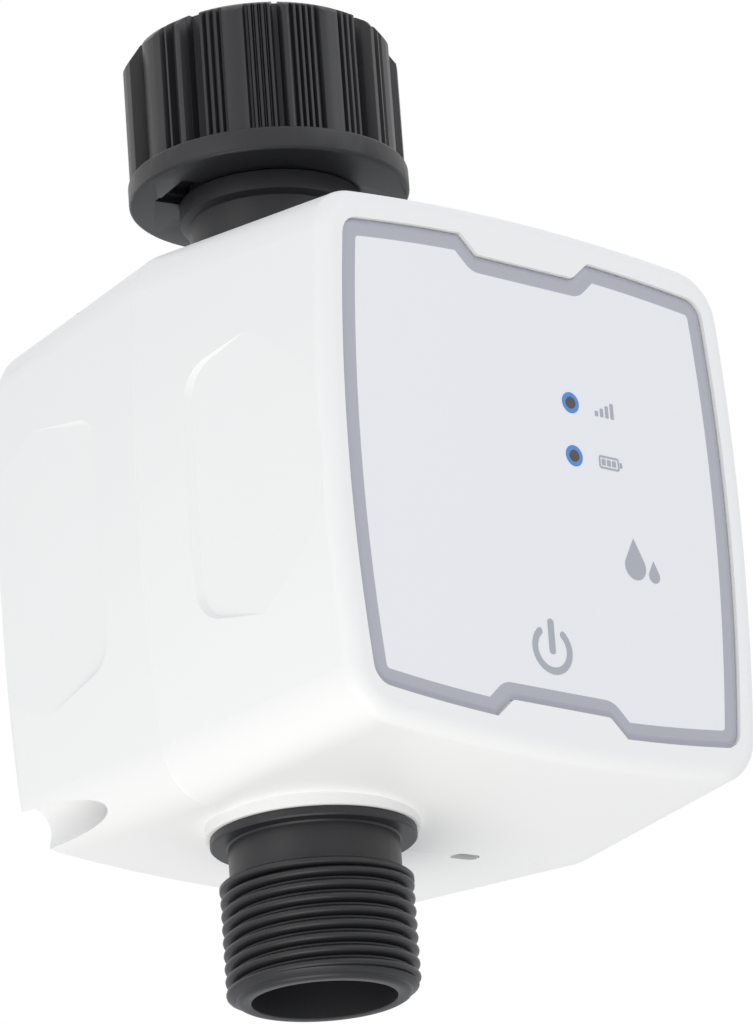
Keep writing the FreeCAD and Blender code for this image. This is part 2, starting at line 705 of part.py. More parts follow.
def add_glands(shell, front):
    """Adds this half of the collar round each pipe, with its seal groove, and the pipe holes."""
    outside = HOLE_RADIUS + S.gland_wall
    top = CENTRE_Z + S.waist_height / 2
    bottom = CENTRE_Z - S.waist_height / 2
    shell.pad("Z", top - S.gland_depth, top - S.housing_wall / 2 - 1, half_disc(outside, front))
    shell.pad("Z", -COLLAR_FACE, bottom + S.gland_depth, half_disc(S.collar_radius, front))
    shell.pocket("Z", -COLLAR_FACE - 5, top + 5, circle(0, 0, HOLE_RADIUS))
    groove = circle(0, 0, HOLE_RADIUS + S.gland_groove)
    shell.pocket("Z", top - S.gland_inset - S.gland_width, top - S.gland_inset, groove)
    shell.pocket("Z", bottom + S.gland_inset, bottom + S.gland_inset + S.gland_width, groove)


def cut_grips(shell, station, reach, front):
    """Cuts the shallow finger hollow into the left and right side of a shell."""
    sign = -1 if front else 1
    taper = (S.waist_width - STATIONS[station][0]) / 2
    skin = S.waist_width / 2 - taper * S.grip_near / reach
    floor = skin - S.grip_depth + S.grip_near * tangent(S.grip_lean)
    for side in (-1, 1):
        sketches = []
        for rise in (0.0, 1.0):
            spread = S.grip_slope * rise
            near, far = S.grip_near - spread, reach + 6
            low, high = S.grip_near_half + spread, S.grip_far_half + spread
            outline = [(near, low, S.grip_corner), (near, -low, S.grip_corner), (far, -high), (far, high)]
            outline = [(p[0] * sign, CENTRE_Z + p[1]) + tuple(p[2:]) for p in outline]
            offset = CENTRE_X + (floor + S.grip_depth * 1.5 * rise) * side
            sketch = shell.sketch("X", offset, polygon(outline))
            turn = FreeCAD.Rotation(Vector(0, 1, 0), -sign * side * -1 * S.grip_lean.value)
            sketch.AttachmentOffset = FreeCAD.Placement(sketch.AttachmentOffset.Base, turn)
            bind(sketch, "AttachmentOffset.Base.z", offset)
            sketches.append(sketch)
        before = shell.volume()
        loft = shell.feature("SubtractiveLoft", sketches[0])
        loft.Sections = sketches[1:]
        loft.Ruled = True
        if not shell.volume() < before:
            raise RuntimeError("%s: a grip removes nothing" % shell.body.Label)


def drain():
    return centred_box(CENTRE_X + S.drain_x, 0, S.drain_length, S.drain_width, S.drain_width / 2 - 0.05)


def bezel_tab(up, extra=0.0):
    """One of the two bezel tabs that reach into the label, as corners with rounding."""
    rim = S.label_height / 2
    outer, inner = S.tab_outer_width / 2 + extra, S.tab_inner_width / 2 + extra
    slant = (outer - inner) / S.tab_depth
    tip = rim - S.tab_depth - extra
    beyond = 0.8
    spots = [(inner, tip, S.tab_corner), (outer + slant * beyond, rim + beyond),
             (-(outer + slant * beyond), rim + beyond), (-inner, tip, S.tab_corner)]
    spots = [(CENTRE_X + p[0], CENTRE_Z + p[1] * up) + tuple(p[2:]) for p in spots]
    return polygon(spots if up > 0 else spots[::-1])


def label_outline(inset=0.0):
    return bowed_box(CENTRE_X, CENTRE_Z, S.label_width - as_size(inset) * 2,
                     S.label_height - as_size(inset) * 2, S.label_corner, S.label_bow_radius)


def make_front_shell():
    """The front half: drafted sides, bezel with two tabs, label recess, posts and glands."""
    shell = Piece("front_shell")
    add_skin(shell, "front", S.front_reach, S.front_edge_radius, -1)
    shell.loft("SubtractiveLoft", [(0, section("waist", S.housing_wall)),
                                   (-FRONT_INSIDE, section("front", S.housing_wall))])
    recess = S.front_reach - S.label_depth
    shell.pocket("Y", -S.front_reach, -recess, label_outline(-S.label_gap))
    for up in (1, -1):
        shell.pad("Y", -S.front_reach, -recess, bezel_tab(up))
    for side, level in CORNERS:
        x, z = screw_spot(side, level)
        shell.pad("Y", S.channel_floor - S.screw_length - 2, 0, circle(x, z, S.post_diameter / 2))
    for side, up in ((-1, 1), (1, 1), (-1, -1)):
        x, z = CENTRE_X + S.board_screw_x * side, S.board_centre_z + S.board_screw_z * up
        shell.pad("Y", -FRONT_INSIDE - 0.5, -S.board_face, circle(x, z, S.small_screw))
    add_glands(shell, True)
    shell.pocket("Y", -S.gasket_thickness / 2 - S.seal_gap, 0,
                 several(section("waist", S.gasket_inset - S.seal_gap),
                         section("waist", S.gasket_inset + S.gasket_width + S.seal_gap)))
    holes = [circle(x, z, S.lamp_diameter / 2 + S.screw_gap) for x, z in LAMPS]
    holes.append(circle(CENTRE_X, S.key_z, S.key_diameter / 2 + S.screw_gap))
    shell.pocket("Y", -recess - 1, -FRONT_INSIDE + 1, several(*holes))
    pilots = []
    for side, level in CORNERS:
        x, z = screw_spot(side, level)
        pilots.append(circle(x, z, S.screw_diameter / 2 + 0.02))
    shell.pocket("Y", -S.screw_length + S.channel_floor, 0, several(*pilots))
    studs = []
    for side, up in ((-1, 1), (1, 1), (-1, -1)):
        x, z = CENTRE_X + S.board_screw_x * side, S.board_centre_z + S.board_screw_z * up
        studs.append(circle(x, z, S.small_screw / 2 + 0.02))
    shell.pocket("Y", -FRONT_INSIDE - 0.4, -S.board_face, several(*studs))
    shell.pocket("Z", CENTRE_Z - S.waist_height / 2 - 1, CENTRE_Z - S.waist_height / 2 + 5, drain())
    cut_grips(shell, "front", S.front_reach, True)
    return shell


def channel_tube(x, z, side, level):
    """The inner wall of a screw channel, flat towards the corner so that it stays inside."""
    radius = S.channel_diameter / 2 + S.channel_wall
    half = math.sqrt(0.5)
    shape = [(0.1, 0.85), (-0.5, 1.0), (-1.0, 0.5), (-1.0, -0.5), (-0.5, -1.0), (0.1, -0.85)]
    spots = []
    for out, across in shape:
        spots.append((x + radius * ((out * side - across * level) * half),
                      z + radius * ((out * level + across * side) * half)))
    if side * level < 0:
        spots = spots[::-1]
    return polygon(spots)


def make_rear_shell():
    """The rear half: drafted sides, screw channels, battery pocket and cover recess."""
    shell = Piece("rear_shell")
    add_skin(shell, "rear", S.rear_reach, S.rear_edge_radius, 1)
    shell.loft("SubtractiveLoft", [(0, section("waist", S.housing_wall)),
                                   (REAR_INSIDE, section("rear", S.housing_wall))])
    shell.pad("Y", POCKET_FLOOR - S.pocket_wall, REAR_INSIDE + 1,
              centred_box(CENTRE_X, CENTRE_Z, S.pocket_width + S.pocket_wall * 2,
                          S.pocket_height + S.pocket_wall * 2))
    for side, level in CORNERS:
        x, z = screw_spot(side, level)
        shell.pad("Y", 0, REAR_INSIDE + 1, channel_tube(x, z, side, level))
    for side in (1, -1):
        shell.pad("Y", REAR_INSIDE - S.small_screw_length, REAR_INSIDE + 1,
                  circle(CENTRE_X + S.cover_screw_x * side, CENTRE_Z, S.small_screw))
    add_glands(shell, False)
    shell.pocket("Y", 0, S.gasket_thickness / 2 + S.seal_gap,
                 several(section("waist", S.gasket_inset - S.seal_gap),
                         section("waist", S.gasket_inset + S.gasket_width + S.seal_gap)))
    shell.pocket("Y", POCKET_FLOOR, S.rear_reach + 1,
                 centred_box(CENTRE_X, CENTRE_Z, S.pocket_width, S.pocket_height))
    ledge = S.rear_reach - S.cover_thickness
    shell.pocket("Y", ledge, S.rear_reach + 1,
                 centred_box(CENTRE_X, CENTRE_Z, S.cover_width + S.cover_gap * 2,
                             S.cover_height + S.cover_gap * 2, S.cover_corner + S.cover_gap))
    shell.pocket("Y", ledge - S.cover_seal_height + 0.1, ledge, cover_seal_outline(S.seal_gap))
    for side in (1, -1):
        x = CENTRE_X + S.cover_screw_x * side
        shell.pocket("Y", ledge, S.rear_reach + 1, circle(x, CENTRE_Z, S.cover_ear_radius + S.cover_gap))
        shell.pocket("Y", REAR_INSIDE - S.small_screw_length + 1, ledge,
                     circle(x, CENTRE_Z, S.small_screw / 2 + 0.02))
    channels, holes = [], []
    for side, level in CORNERS:
        x, z = screw_spot(side, level)
        channels.append(circle(x, z, S.channel_diameter / 2))
        holes.append(circle(x, z, S.screw_diameter / 2 + S.screw_gap))
    shell.pocket("Y", S.channel_floor, S.rear_reach + 1, several(*channels))
    shell.pocket("Y", -1, S.channel_floor + 1, several(*holes))
    shell.pocket("Z", CENTRE_Z - S.waist_height / 2 - 1, CENTRE_Z - S.waist_height / 2 + 5, drain())
    cut_grips(shell, "rear", S.rear_reach, False)
    return shell


def cover_seal_outline(gap=0.0):
    inner = S.cover_seal_inset * 2 - as_size(gap) * 2
    outer = (S.cover_seal_inset + S.cover_seal_width) * 2 + as_size(gap) * 2
    return several(centred_box(CENTRE_X, CENTRE_Z, S.pocket_width + outer, S.pocket_height + outer, 2.0),
                   centred_box(CENTRE_X, CENTRE_Z, S.pocket_width + inner, S.pocket_height + inner, 1.0))


def make_gasket():
    """The cord in the parting line, left and right of the pipe."""
    gasket = Piece("housing_gasket")
    half = S.gasket_thickness / 2
    gasket.pad("Y", -half, half, several(section("waist", S.gasket_inset),
                                         section("waist", S.gasket_inset + S.gasket_width)))
    reach = HOLE_RADIUS + S.gland_groove + 1
    gasket.pocket("Y", -half, half, centred_box(0, CENTRE_Z, reach * 2, S.waist_height + 10))
    return gasket


def make_battery_cover():
    """The lid over the battery pocket, with countersunk seats for its two screws."""
    cover = Piece("battery_cover")
    inside = S.rear_reach - S.cover_thickness + 0.05
    cover.pad("Y", inside, S.rear_reach,
              centred_box(CENTRE_X, CENTRE_Z, S.cover_width, S.cover_height, S.cover_corner))
    for side in (1, -1):
        cover.pad("Y", inside, S.rear_reach,
                  circle(CENTRE_X + S.cover_screw_x * side, CENTRE_Z, S.cover_ear_radius))
    cover.round_edges(0.5, in_plane(S.rear_reach))
    seats, holes = [], []
    for side in (1, -1):
        x = CENTRE_X + S.cover_screw_x * side
        seats.append(circle(x, CENTRE_Z, S.small_head / 2 + 0.1))
        holes.append(circle(x, CENTRE_Z, S.small_screw / 2 + S.screw_gap))
    cover.pocket("Y", S.rear_reach - S.small_head_height - 0.1, S.rear_reach, several(*seats))
    cover.pocket("Y", inside - 1, S.rear_reach, several(*holes))
    return cover


def make_label():
    """The printed front panel, cut out round the two bezel tabs."""
    label = Piece("label_panel")
    back = S.front_reach - S.label_depth
    label.pad("Y", -back - S.label_thickness, -back, label_outline())
    for up in (1, -1):
        label.pocket("Y", -back - S.label_thickness, -back, bezel_tab(up, S.label_gap))
    return label


def make_lamps_and_key():
    """Light pipes and the power key's plunger, behind the label."""
    back = S.front_reach - S.label_depth - 0.05
    pipes = []
    height = as_size(FRONT_INSIDE)
    for x, z in LAMPS:
        stem = Part.makeCylinder(float(S.lamp_diameter / 2), float(back - height),
                                 Vector(float(x), -float(back), float(z)), Vector(0, 1, 0))
        flange = Part.makeCylinder(float(S.lamp_diameter / 2 + S.lamp_flange), 0.6,
                                   Vector(float(x), -float(height), float(z)), Vector(0, 1, 0))
        pipes.append(stem.fuse(flange).removeSplitter())
    shape_piece("light_pipes", Part.makeCompound(pipes))
    key = Piece("power_key")
    key.pad("Y", -back, -FRONT_INSIDE + 0.05, circle(CENTRE_X, S.key_z, S.key_diameter / 2))
    key.pad("Y", -FRONT_INSIDE + 0.05, -FRONT_INSIDE + 0.45,
            circle(CENTRE_X, S.key_z, S.key_diameter / 2 + S.key_flange))
    return key


# Fasteners, seals and other groups


def rod(centre, direction, radius, length):
    """A plain cylinder from a centre along a direction."""
    spot = Vector(*[float(v) for v in centre])
    return Part.makeCylinder(float(radius), float(length), spot, Vector(*direction))


def tube_ring(radius_out, radius_in, centre, direction, length):
    return rod(centre, direction, radius_out, length).cut(rod(centre, direction, radius_in, length))


def block(x, y, z, dx, dy, dz):
    """A box from its low corner."""
    return Part.makeBox(float(dx), float(dy), float(dz), Vector(float(x), float(y), float(z)))


def screw(seat, direction, shank, length, head, head_height):
    """A pan-head screw whose head rests on a seat and whose shank runs along a direction."""
    back = [-v for v in direction]
    body = rod(seat, direction, shank / 2, length).fuse(rod(seat, back, head / 2, head_height))
    return body.removeSplitter()


def small_screws(name, seats, direction, length):
    shape_piece(name, Part.makeCompound([screw(seat, direction, S.small_screw, length, S.small_head,
                                               S.small_head_height) for seat in seats]))


def make_fasteners_and_seals():
    seats = []
    for side, level in CORNERS:
        x, z = screw_spot(side, level)
        seats.append((x, S.channel_floor, z))
    shape_piece("housing_screws", Part.makeCompound(
        [screw(seat, (0, -1, 0), S.screw_diameter, S.screw_length, S.screw_head, S.screw_head_height)
         for seat in seats]))
    seat_y = S.rear_reach - S.small_head_height - 0.1
    small_screws("cover_screws", [(CENTRE_X + S.cover_screw_x * side, seat_y, CENTRE_Z)
                                  for side in (1, -1)], (0, -1, 0), S.small_screw_length)
    top = CENTRE_Z + S.waist_height / 2
    bottom = CENTRE_Z - S.waist_height / 2
    outside = HOLE_RADIUS + S.gland_groove - S.seal_gap
    inside = S.pipe_radius + S.seal_gap
    for name, low in (("inlet_gland_seal", top - S.gland_inset - S.gland_width + S.seal_gap),
                      ("outlet_gland_seal", bottom + S.gland_inset + S.seal_gap)):
        seal = Piece(name)
        seal.pad("Z", low, low + S.gland_width - S.seal_gap * 2, ring(0, 0, outside, inside))
    seal = Piece("cover_seal")
    ledge = S.rear_reach - S.cover_thickness
    seal.pad("Y", ledge - S.cover_seal_height + 0.1, ledge, cover_seal_outline())


# Valve and pipe


def make_valve_body():
    """Chamber, inlet pipe with its step and clip groove, stem boss, lug and ears."""
    body = Piece("valve_body")
    step_top = S.nut_floor_low - S.nut_end_gap
    clip_low = S.nut_floor_low + S.nut_flange_thickness + S.nut_end_gap
    clip_high = clip_low + S.clip_thickness + S.seal_gap * 2
    chamber = S.seat_radius + S.seal_gap
    body.turn([
        (chamber, -S.chamber_bottom), (S.chamber_radius, -S.chamber_bottom),
        (S.chamber_radius, S.chamber_top), (S.pipe_radius, S.chamber_top + 3),
        (S.pipe_radius, step_top - S.step_height), (S.step_radius, step_top - S.step_height + 0.5),
        (S.step_radius, step_top), (S.pipe_radius, step_top), (S.pipe_radius, clip_low),
        (S.clip_groove_radius, clip_low), (S.clip_groove_radius, clip_high),
        (S.pipe_top_radius, clip_high), (S.pipe_top_radius, PIPE_TOP),
        (S.strainer_rim + 0.1, PIPE_TOP), (S.strainer_rim + 0.1, PIPE_TOP - S.strainer_recess),
        (S.bore_radius, PIPE_TOP - S.strainer_recess), (S.bore_radius, S.seat_reach + 0.05),
        (chamber, S.seat_reach + 0.05),
    ])
    body.pad("Y", -S.boss_reach, -chamber - 1, circle(0, 0, S.boss_radius))
    lug_face = S.gear_floor - S.gear_floor_thickness - 0.05
    body.pad("Y", -lug_face, -lug_face + S.lug_thickness,
             centred_box(0, 0, S.lug_width, S.lug_height, 2.0))
    web = S.lug_width / 2 - 3
    body.pad("Y", -lug_face + 1, -chamber + 2, centred_box(0, 0, web * 2, S.lug_height - 6))
    for count in range(4):
        turn = as_size(45.0 + 90 * count)
        spot = circle(S.ear_reach * cosine(turn), S.ear_reach * sine(turn), S.ear_radius)
        body.pad("Z", -S.chamber_bottom, -S.chamber_bottom + S.ear_height, spot)
    body.pocket("Z", -S.chamber_bottom, S.seat_reach, circle(0, 0, chamber))
    holes = []
    for count in range(4):
        turn = as_size(45.0 + 90 * count)
        holes.append(circle(S.ear_reach * cosine(turn), S.ear_reach * sine(turn),
                            S.small_screw / 2 + 0.02))
    body.pocket("Z", -S.chamber_bottom, -S.chamber_bottom + S.ear_height - 1, several(*holes))
    body.pocket("Y", -S.boss_reach - 1, 0, circle(0, 0, S.stem_radius + S.stem_gap))
    body.pocket("Y", -chamber - S.stem_collar_thickness + 0.6, 0,
                circle(0, 0, S.stem_collar + S.stem_gap * 2))
    holes = [circle(S.mount_screw_x * side, S.mount_screw_z * up, S.small_screw / 2 + 0.02)
             for side in (1, -1) for up in (1, -1)]
    body.pocket("Y", -lug_face - 1, -lug_face + 5, several(*holes))
    return body


def make_outlet():
    """Spigot, ears, barrel, flange, neck, thread and plain end, all in one moulding."""
    fitting = Piece("outlet_fitting")
    spigot = S.seat_radius + S.seal_gap - S.spigot_gap
    union_low = -S.chamber_bottom - S.union_thickness
    flange_low = -OUTLET_FLANGE - S.outlet_flange_thickness
    fitting.turn([
        (S.bore_radius, -S.seat_reach - 0.05), (spigot, -S.seat_reach - 0.05),
        (spigot, -S.chamber_bottom - 0.05), (S.chamber_radius, -S.chamber_bottom - 0.05),
        (S.chamber_radius, union_low), (S.pipe_radius, union_low), (S.pipe_radius, -OUTLET_FLANGE),
        (S.outlet_flange_radius, -OUTLET_FLANGE), (S.outlet_flange_radius, flange_low),
        (S.outlet_neck_radius, flange_low), (S.outlet_neck_radius, -THREAD_START),
        (S.thread_radius, -THREAD_START - 0.9), (S.thread_radius, -THREAD_STOP + 0.9),
        (S.pilot_radius, -THREAD_STOP), (S.pilot_radius, -OUTLET_END + 0.6),
        (S.pilot_radius - 0.6, -OUTLET_END), (S.outlet_bore_radius, -OUTLET_END),
        (S.outlet_bore_radius, -OUTLET_END + S.outlet_bore_depth),
        (S.bore_radius, -OUTLET_END + S.outlet_bore_depth + 1),
    ])
    holes = []
    for count in range(4):
        turn = as_size(45.0 + 90 * count)
        x, y = S.ear_reach * cosine(turn), S.ear_reach * sine(turn)
        fitting.pad("Z", union_low, -S.chamber_bottom - 0.05, circle(x, y, S.ear_radius))
        holes.append(circle(x, y, S.small_screw / 2 + S.screw_gap))
    fitting.pocket("Z", union_low - 1, -S.chamber_bottom, several(*holes))
    middle = -(S.seat_reach + S.chamber_bottom) / 2
    half = S.outlet_seal_width / 2
    fitting.groove([(spigot - S.outlet_seal_depth, middle - half), (spigot + 1, middle - half),
                    (spigot + 1, middle + half), (spigot - S.outlet_seal_depth, middle + half)])
    seal = Piece("outlet_seal")
    seal.pad("Z", middle - half + S.seal_gap, middle + half - S.seal_gap,
             ring(0, 0, spigot + S.spigot_gap - S.seal_gap / 2,
                  spigot - S.outlet_seal_depth + S.seal_gap))
    seats = []
    for count in range(4):
        turn = math.radians(45.0 + 90 * count)
        reach = float(S.ear_reach)
        seats.append((reach * math.cos(turn), reach * math.sin(turn), union_low))
    small_screws("valve_screws", seats, (0, 0, 1), S.small_screw_length)
    return fitting


def make_seats_and_ball():
    """Two seats with spherical faces, and the ball with its bore and its slot for the stem."""
    face = S.ball_radius + S.ball_gap
    for name, sign in (("upper_seat", 1), ("lower_seat", -1)):
        seat = Piece(name)
        inner = root(face * face - S.seat_bore_radius * S.seat_bore_radius)
        outer = as_size(4.1)
        rim = root(face * face - outer * outer)
        spots = [(S.seat_bore_radius, inner), (rim, outer), (S.seat_radius, outer),
                 (S.seat_radius, S.seat_reach), (S.seat_bore_radius, S.seat_reach)]
        profile = [(p[0], p[1] * sign) for p in spots]
        seat.turn(profile if sign > 0 else profile[::-1])
        hollow = seat.feature("SubtractiveSphere")
        bind(hollow, "Radius", face)
    ball = Piece("ball")
    core = ball.feature("AdditiveSphere")
    bind(core, "Radius", S.ball_radius)
    ball.pocket("X", -S.ball_radius - 1, S.ball_radius + 1, circle(0, 0, S.ball_bore_radius))
    ball.pocket("Y", -S.ball_radius - 1, -S.ball_radius + S.stem_key_depth,
                centred_box(0, 0, S.stem_key_width + S.drive_gap * 2, S.ball_radius * 2 + 2))


def make_stem():
    """Tongue, collar, two seal grooves, square for the gear, and a journal in the cover."""
    stem = Piece("stem")
    stem.face_front(0, 0, 0)
    chamber = S.seat_radius + S.seal_gap
    collar_low = chamber - 0.7
    collar_high = chamber - 0.7 + S.stem_collar_thickness
    shoulder = GEAR_BACK - 0.05
    square_end = S.gear_floor + 1.7 + S.output_gear_face + S.gear_hub_height
    lip = S.stem_radius - S.stem_seal_depth
    first = collar_high + 1.2
    second = first + S.stem_seal_width + 1.2
    stem.turn([
        (0, collar_low), (S.stem_collar, collar_low), (S.stem_collar, collar_high),
        (S.stem_radius, collar_high), (S.stem_radius, first), (lip, first),
        (lip, first + S.stem_seal_width), (S.stem_radius, first + S.stem_seal_width),
        (S.stem_radius, second), (lip, second), (lip, second + S.stem_seal_width),
        (S.stem_radius, second + S.stem_seal_width), (S.stem_radius, shoulder), (0, shoulder),
    ])
    stem.pad("Z", S.ball_radius - S.stem_key_depth + 0.1, collar_low,
             centred_box(0, 0, S.stem_key_width, S.stem_collar * 1.4))
    stem.pad("Z", shoulder, square_end, centred_box(0, 0, S.square_drive, S.square_drive))
    stem.pad("Z", square_end, S.gear_cover_face - 0.3, circle(0, 0, S.journal_radius))
    seals = []
    for low in (first, second):
        seals.append(tube_ring(S.stem_radius + S.stem_gap / 2, lip + 0.03,
                               (0, -float(low + 0.1), 0), (0, -1, 0), S.stem_seal_width - 0.2))
    shape_piece("stem_seals", Part.makeCompound(seals))


# Inlet nut


def nut_outline():
    """The grip of the nut, seen from above, as (angle, radius) for one half turn."""
    crest, wing = float(S.nut_radius), float(S.nut_wing_radius)
    core, slot = float(S.nut_core_radius), float(S.nut_core_radius) - 0.7
    fine, floor = crest - float(S.nut_rib_drop), crest - float(S.nut_rib_drop) - 0.75

    def rib(middle, half, radius, base):
        return [(middle - half - 0.35, base), (middle - half + 0.35, radius),
                (middle + half - 0.35, radius), (middle + half + 0.35, base)]

    def lobe(low, high, radius, base):
        steps = 5
        spots = [(low, base)]
        for step in range(steps):
            share = step / (steps - 1.0)
            drop = 0.35 * (2 * share - 1) ** 2
            spots.append((low + 0.8 + (high - low - 1.6) * share, radius - drop))
        return spots + [(high, base)]

    half_front = []
    for number in range(4):
        half_front += rib(5.85 + 2.9 * number, 0.9, fine, floor)
    half_front += lobe(16.9, 27.9, crest, floor)
    for number in range(3):
        half_front += rib(30.6 + 3.5 * number, 1.0, fine, floor)
    half_front += [(39.6, floor), (40.0, slot)]
    half_side = [(8.2, core), (13.2, core)] + lobe(13.3, 29.8, crest + 0.1, core + 0.6)
    half_side += rib(32.9, 0.9, crest - 0.3, core + 0.6) + rib(40.8, 1.7, crest, core + 0.6)
    half_side += [(43.1, core + 0.6), (43.5, slot)]
    ridge = [(-3.4, slot), (-0.9, slot)] + lobe(-0.8, 4.5, fine + 0.2, floor)

    spots = []
    for centre, half, middle in ((0.0, half_front, ridge),
                                 (90.0, half_side, lobe(-8.0, 8.0, wing, core))):
        spots += [(centre - a, r) for a, r in reversed(half)]
        spots += [(centre + a, r) for a, r in middle]
        spots += [(centre + a, r) for a, r in half]
    return spots


def make_nut():
    """The swivel nut: flange, ribbed grip with bevelled tops, thread, and floor round the pipe."""
    low, high = float(S.nut_floor_low), float(S.mouth_height)
    grip = []
    for half in (0.0, 180.0):
        for angle, radius in nut_outline():
            turn = math.radians(angle + half + float(S.nut_rest_angle))
            grip.append(Vector(radius * math.cos(turn), radius * math.sin(turn), low))
    wire = Part.makePolygon(grip + [grip[0]])
    ribs = Part.Face(wire).extrude(Vector(0, 0, high - low))
    crest, wing, drop = float(S.nut_radius), float(S.nut_wing_radius), float(S.nut_wing_drop)
    bevel, rim = float(S.nut_chamfer), float(S.nut_rim_radius)
    profile = [(0, low), (wing + 1, low), (wing + 1, high - drop - 1.5), (wing, high - drop),
               (crest, high - bevel), (crest - 0.7, high - bevel * 0.45), (rim, high), (0, high)]
    envelope = Part.Face(Part.makePolygon([Vector(r, 0, z) for r, z in profile + profile[:1]]))
    ribs = ribs.common(envelope.revolve(Vector(), Vector(0, 0, 1), 360))
    flange = rod((0, 0, low), (0, 0, 1), S.nut_flange_radius, S.nut_flange_thickness)
    edges = [edge for edge in flange.Edges if isinstance(edge.Curve, Part.Circle)]
    nut = ribs.fuse(flange.makeFillet(0.5, edges))
    floor = low + float(S.nut_flange_thickness)
    thread_low = high - float(S.nut_thread_depth)
    reach, half = float(S.nut_slot_reach), float(S.nut_slot_length) / 2
    deep, shallow = float(S.nut_slot_depth), float(S.nut_slot_depth) / 2
    step = float(S.nut_step_length)
    window = block(0, -half, low - 1, reach, half * 2, 1 + deep)
    window = window.fuse(block(0, -half - step, low - 1, reach + 0.3, step + 0.1, 1 + shallow))
    window.rotate(Vector(), Vector(0, 0, 1), float(S.nut_slot_angle))
    nut = nut.cut(window)
    nut = nut.cut(rod((0, 0, low - 1), (0, 0, 1), HOLE_RADIUS, 10))
    nut = nut.cut(rod((0, 0, floor), (0, 0, 1), S.nut_room_radius, thread_low - floor))
    nut = nut.cut(rod((0, 0, thread_low - 1), (0, 0, 1), S.nut_thread_radius, high))
    shape_piece("inlet_nut", nut.removeSplitter())


def make_inlet_fittings():
    """Retaining clip, tap washer and the strainer cup with its windows."""
    clip = Piece("swivel_clip")
    clip_low = S.nut_floor_low + S.nut_flange_thickness + S.nut_end_gap + S.seal_gap
    clip.pad("Z", clip_low, clip_low + S.clip_thickness,
             ring(0, 0, S.clip_radius, S.clip_groove_radius + 0.1))
    clip.pocket("Z", clip_low, clip_low + S.clip_thickness,
                box(0, S.clip_radius + 1, -3.0, 3.0))
    washer = Piece("tap_washer")
    washer.pad("Z", PIPE_TOP + 0.02, PIPE_TOP + S.washer_thickness,
               ring(0, 0, S.washer_radius, S.washer_bore))
    strainer = Piece("strainer")
    top = PIPE_TOP - 0.05
    rim_low = PIPE_TOP - S.strainer_recess + 0.02
    bottom = PIPE_TOP - S.strainer_depth
    inner = S.strainer_radius - S.strainer_wall
    strainer.turn([
        (0, bottom), (S.strainer_radius, bottom), (S.strainer_radius, rim_low),
        (S.strainer_rim, rim_low), (S.strainer_rim, top), (inner, top),
        (inner, bottom + S.strainer_wall), (0, bottom + S.strainer_wall),
    ])
    slot = strainer.pocket("X", inner - 1, S.strainer_radius + 1,
                           centred_box(0, bottom + S.strainer_depth / 2, S.strainer_slot_width,
                                       S.strainer_depth / 2, 0.6))
    strainer.around(slot, S.strainer_slots)


# Gear drive

WHEEL, PINION = S.wheel_teeth, S.pinion_teeth
HALF_SUM = (WHEEL + PINION) / 2
SECOND_AT = (HALF_SUM * S.output_module * cosine(S.second_gear_angle),
             HALF_SUM * S.output_module * sine(S.second_gear_angle))
FIRST_AT = (SECOND_AT[0] + HALF_SUM * S.second_module * cosine(S.first_gear_angle),
            SECOND_AT[1] + HALF_SUM * S.second_module * sine(S.first_gear_angle))
MOTOR_AT = (FIRST_AT[0] + HALF_SUM * S.first_module * cosine(S.motor_angle),
            FIRST_AT[1] + HALF_SUM * S.first_module * sine(S.motor_angle))
GEAR_BACK = S.gear_floor + S.gear_side_gap
OUTPUT_LOW = S.gear_floor + 1.7
OUTPUT_HIGH = OUTPUT_LOW + S.output_gear_face
SECOND_LOW = OUTPUT_HIGH + S.gear_rim_gap
SECOND_HIGH = SECOND_LOW + S.second_gear_face
FIRST_LOW = SECOND_HIGH + S.gear_rim_gap
FIRST_HIGH = FIRST_LOW + S.first_gear_face
CASE_INSIDE = S.gear_cover_face - S.gear_cover_thickness


def tooth(teeth, module, phase):
    """One straight-flanked tooth, standing on the root circle at a phase angle."""
    pitch = teeth * module / 2
    tip = pitch + S.tooth_height * module
    foot = pitch - S.tooth_depth * module - module / 2
    thick = S.tooth_foot + (S.tooth_foot - S.tooth_tip) / (S.tooth_height + S.tooth_depth) / 2
    along, across = cosine(phase), sine(phase)
    spots = []
    for reach, half in ((foot, thick * module / 2), (tip, S.tooth_tip * module / 2),
                        (tip, -S.tooth_tip * module / 2), (foot, -thick * module / 2)):
        spots.append((reach * along + half * across, reach * across - half * along))
    return polygon(spots)


def add_teeth(gear, teeth, module, low, high, phase):
    """A toothed ring: the root disc, one tooth, and the tooth repeated all round."""
    gear.pad("Z", low, high, circle(0, 0, teeth * module / 2 - S.tooth_depth * module))
    single = gear.pad("Z", low, high, tooth(teeth, module, phase))
    gear.around(single, teeth)


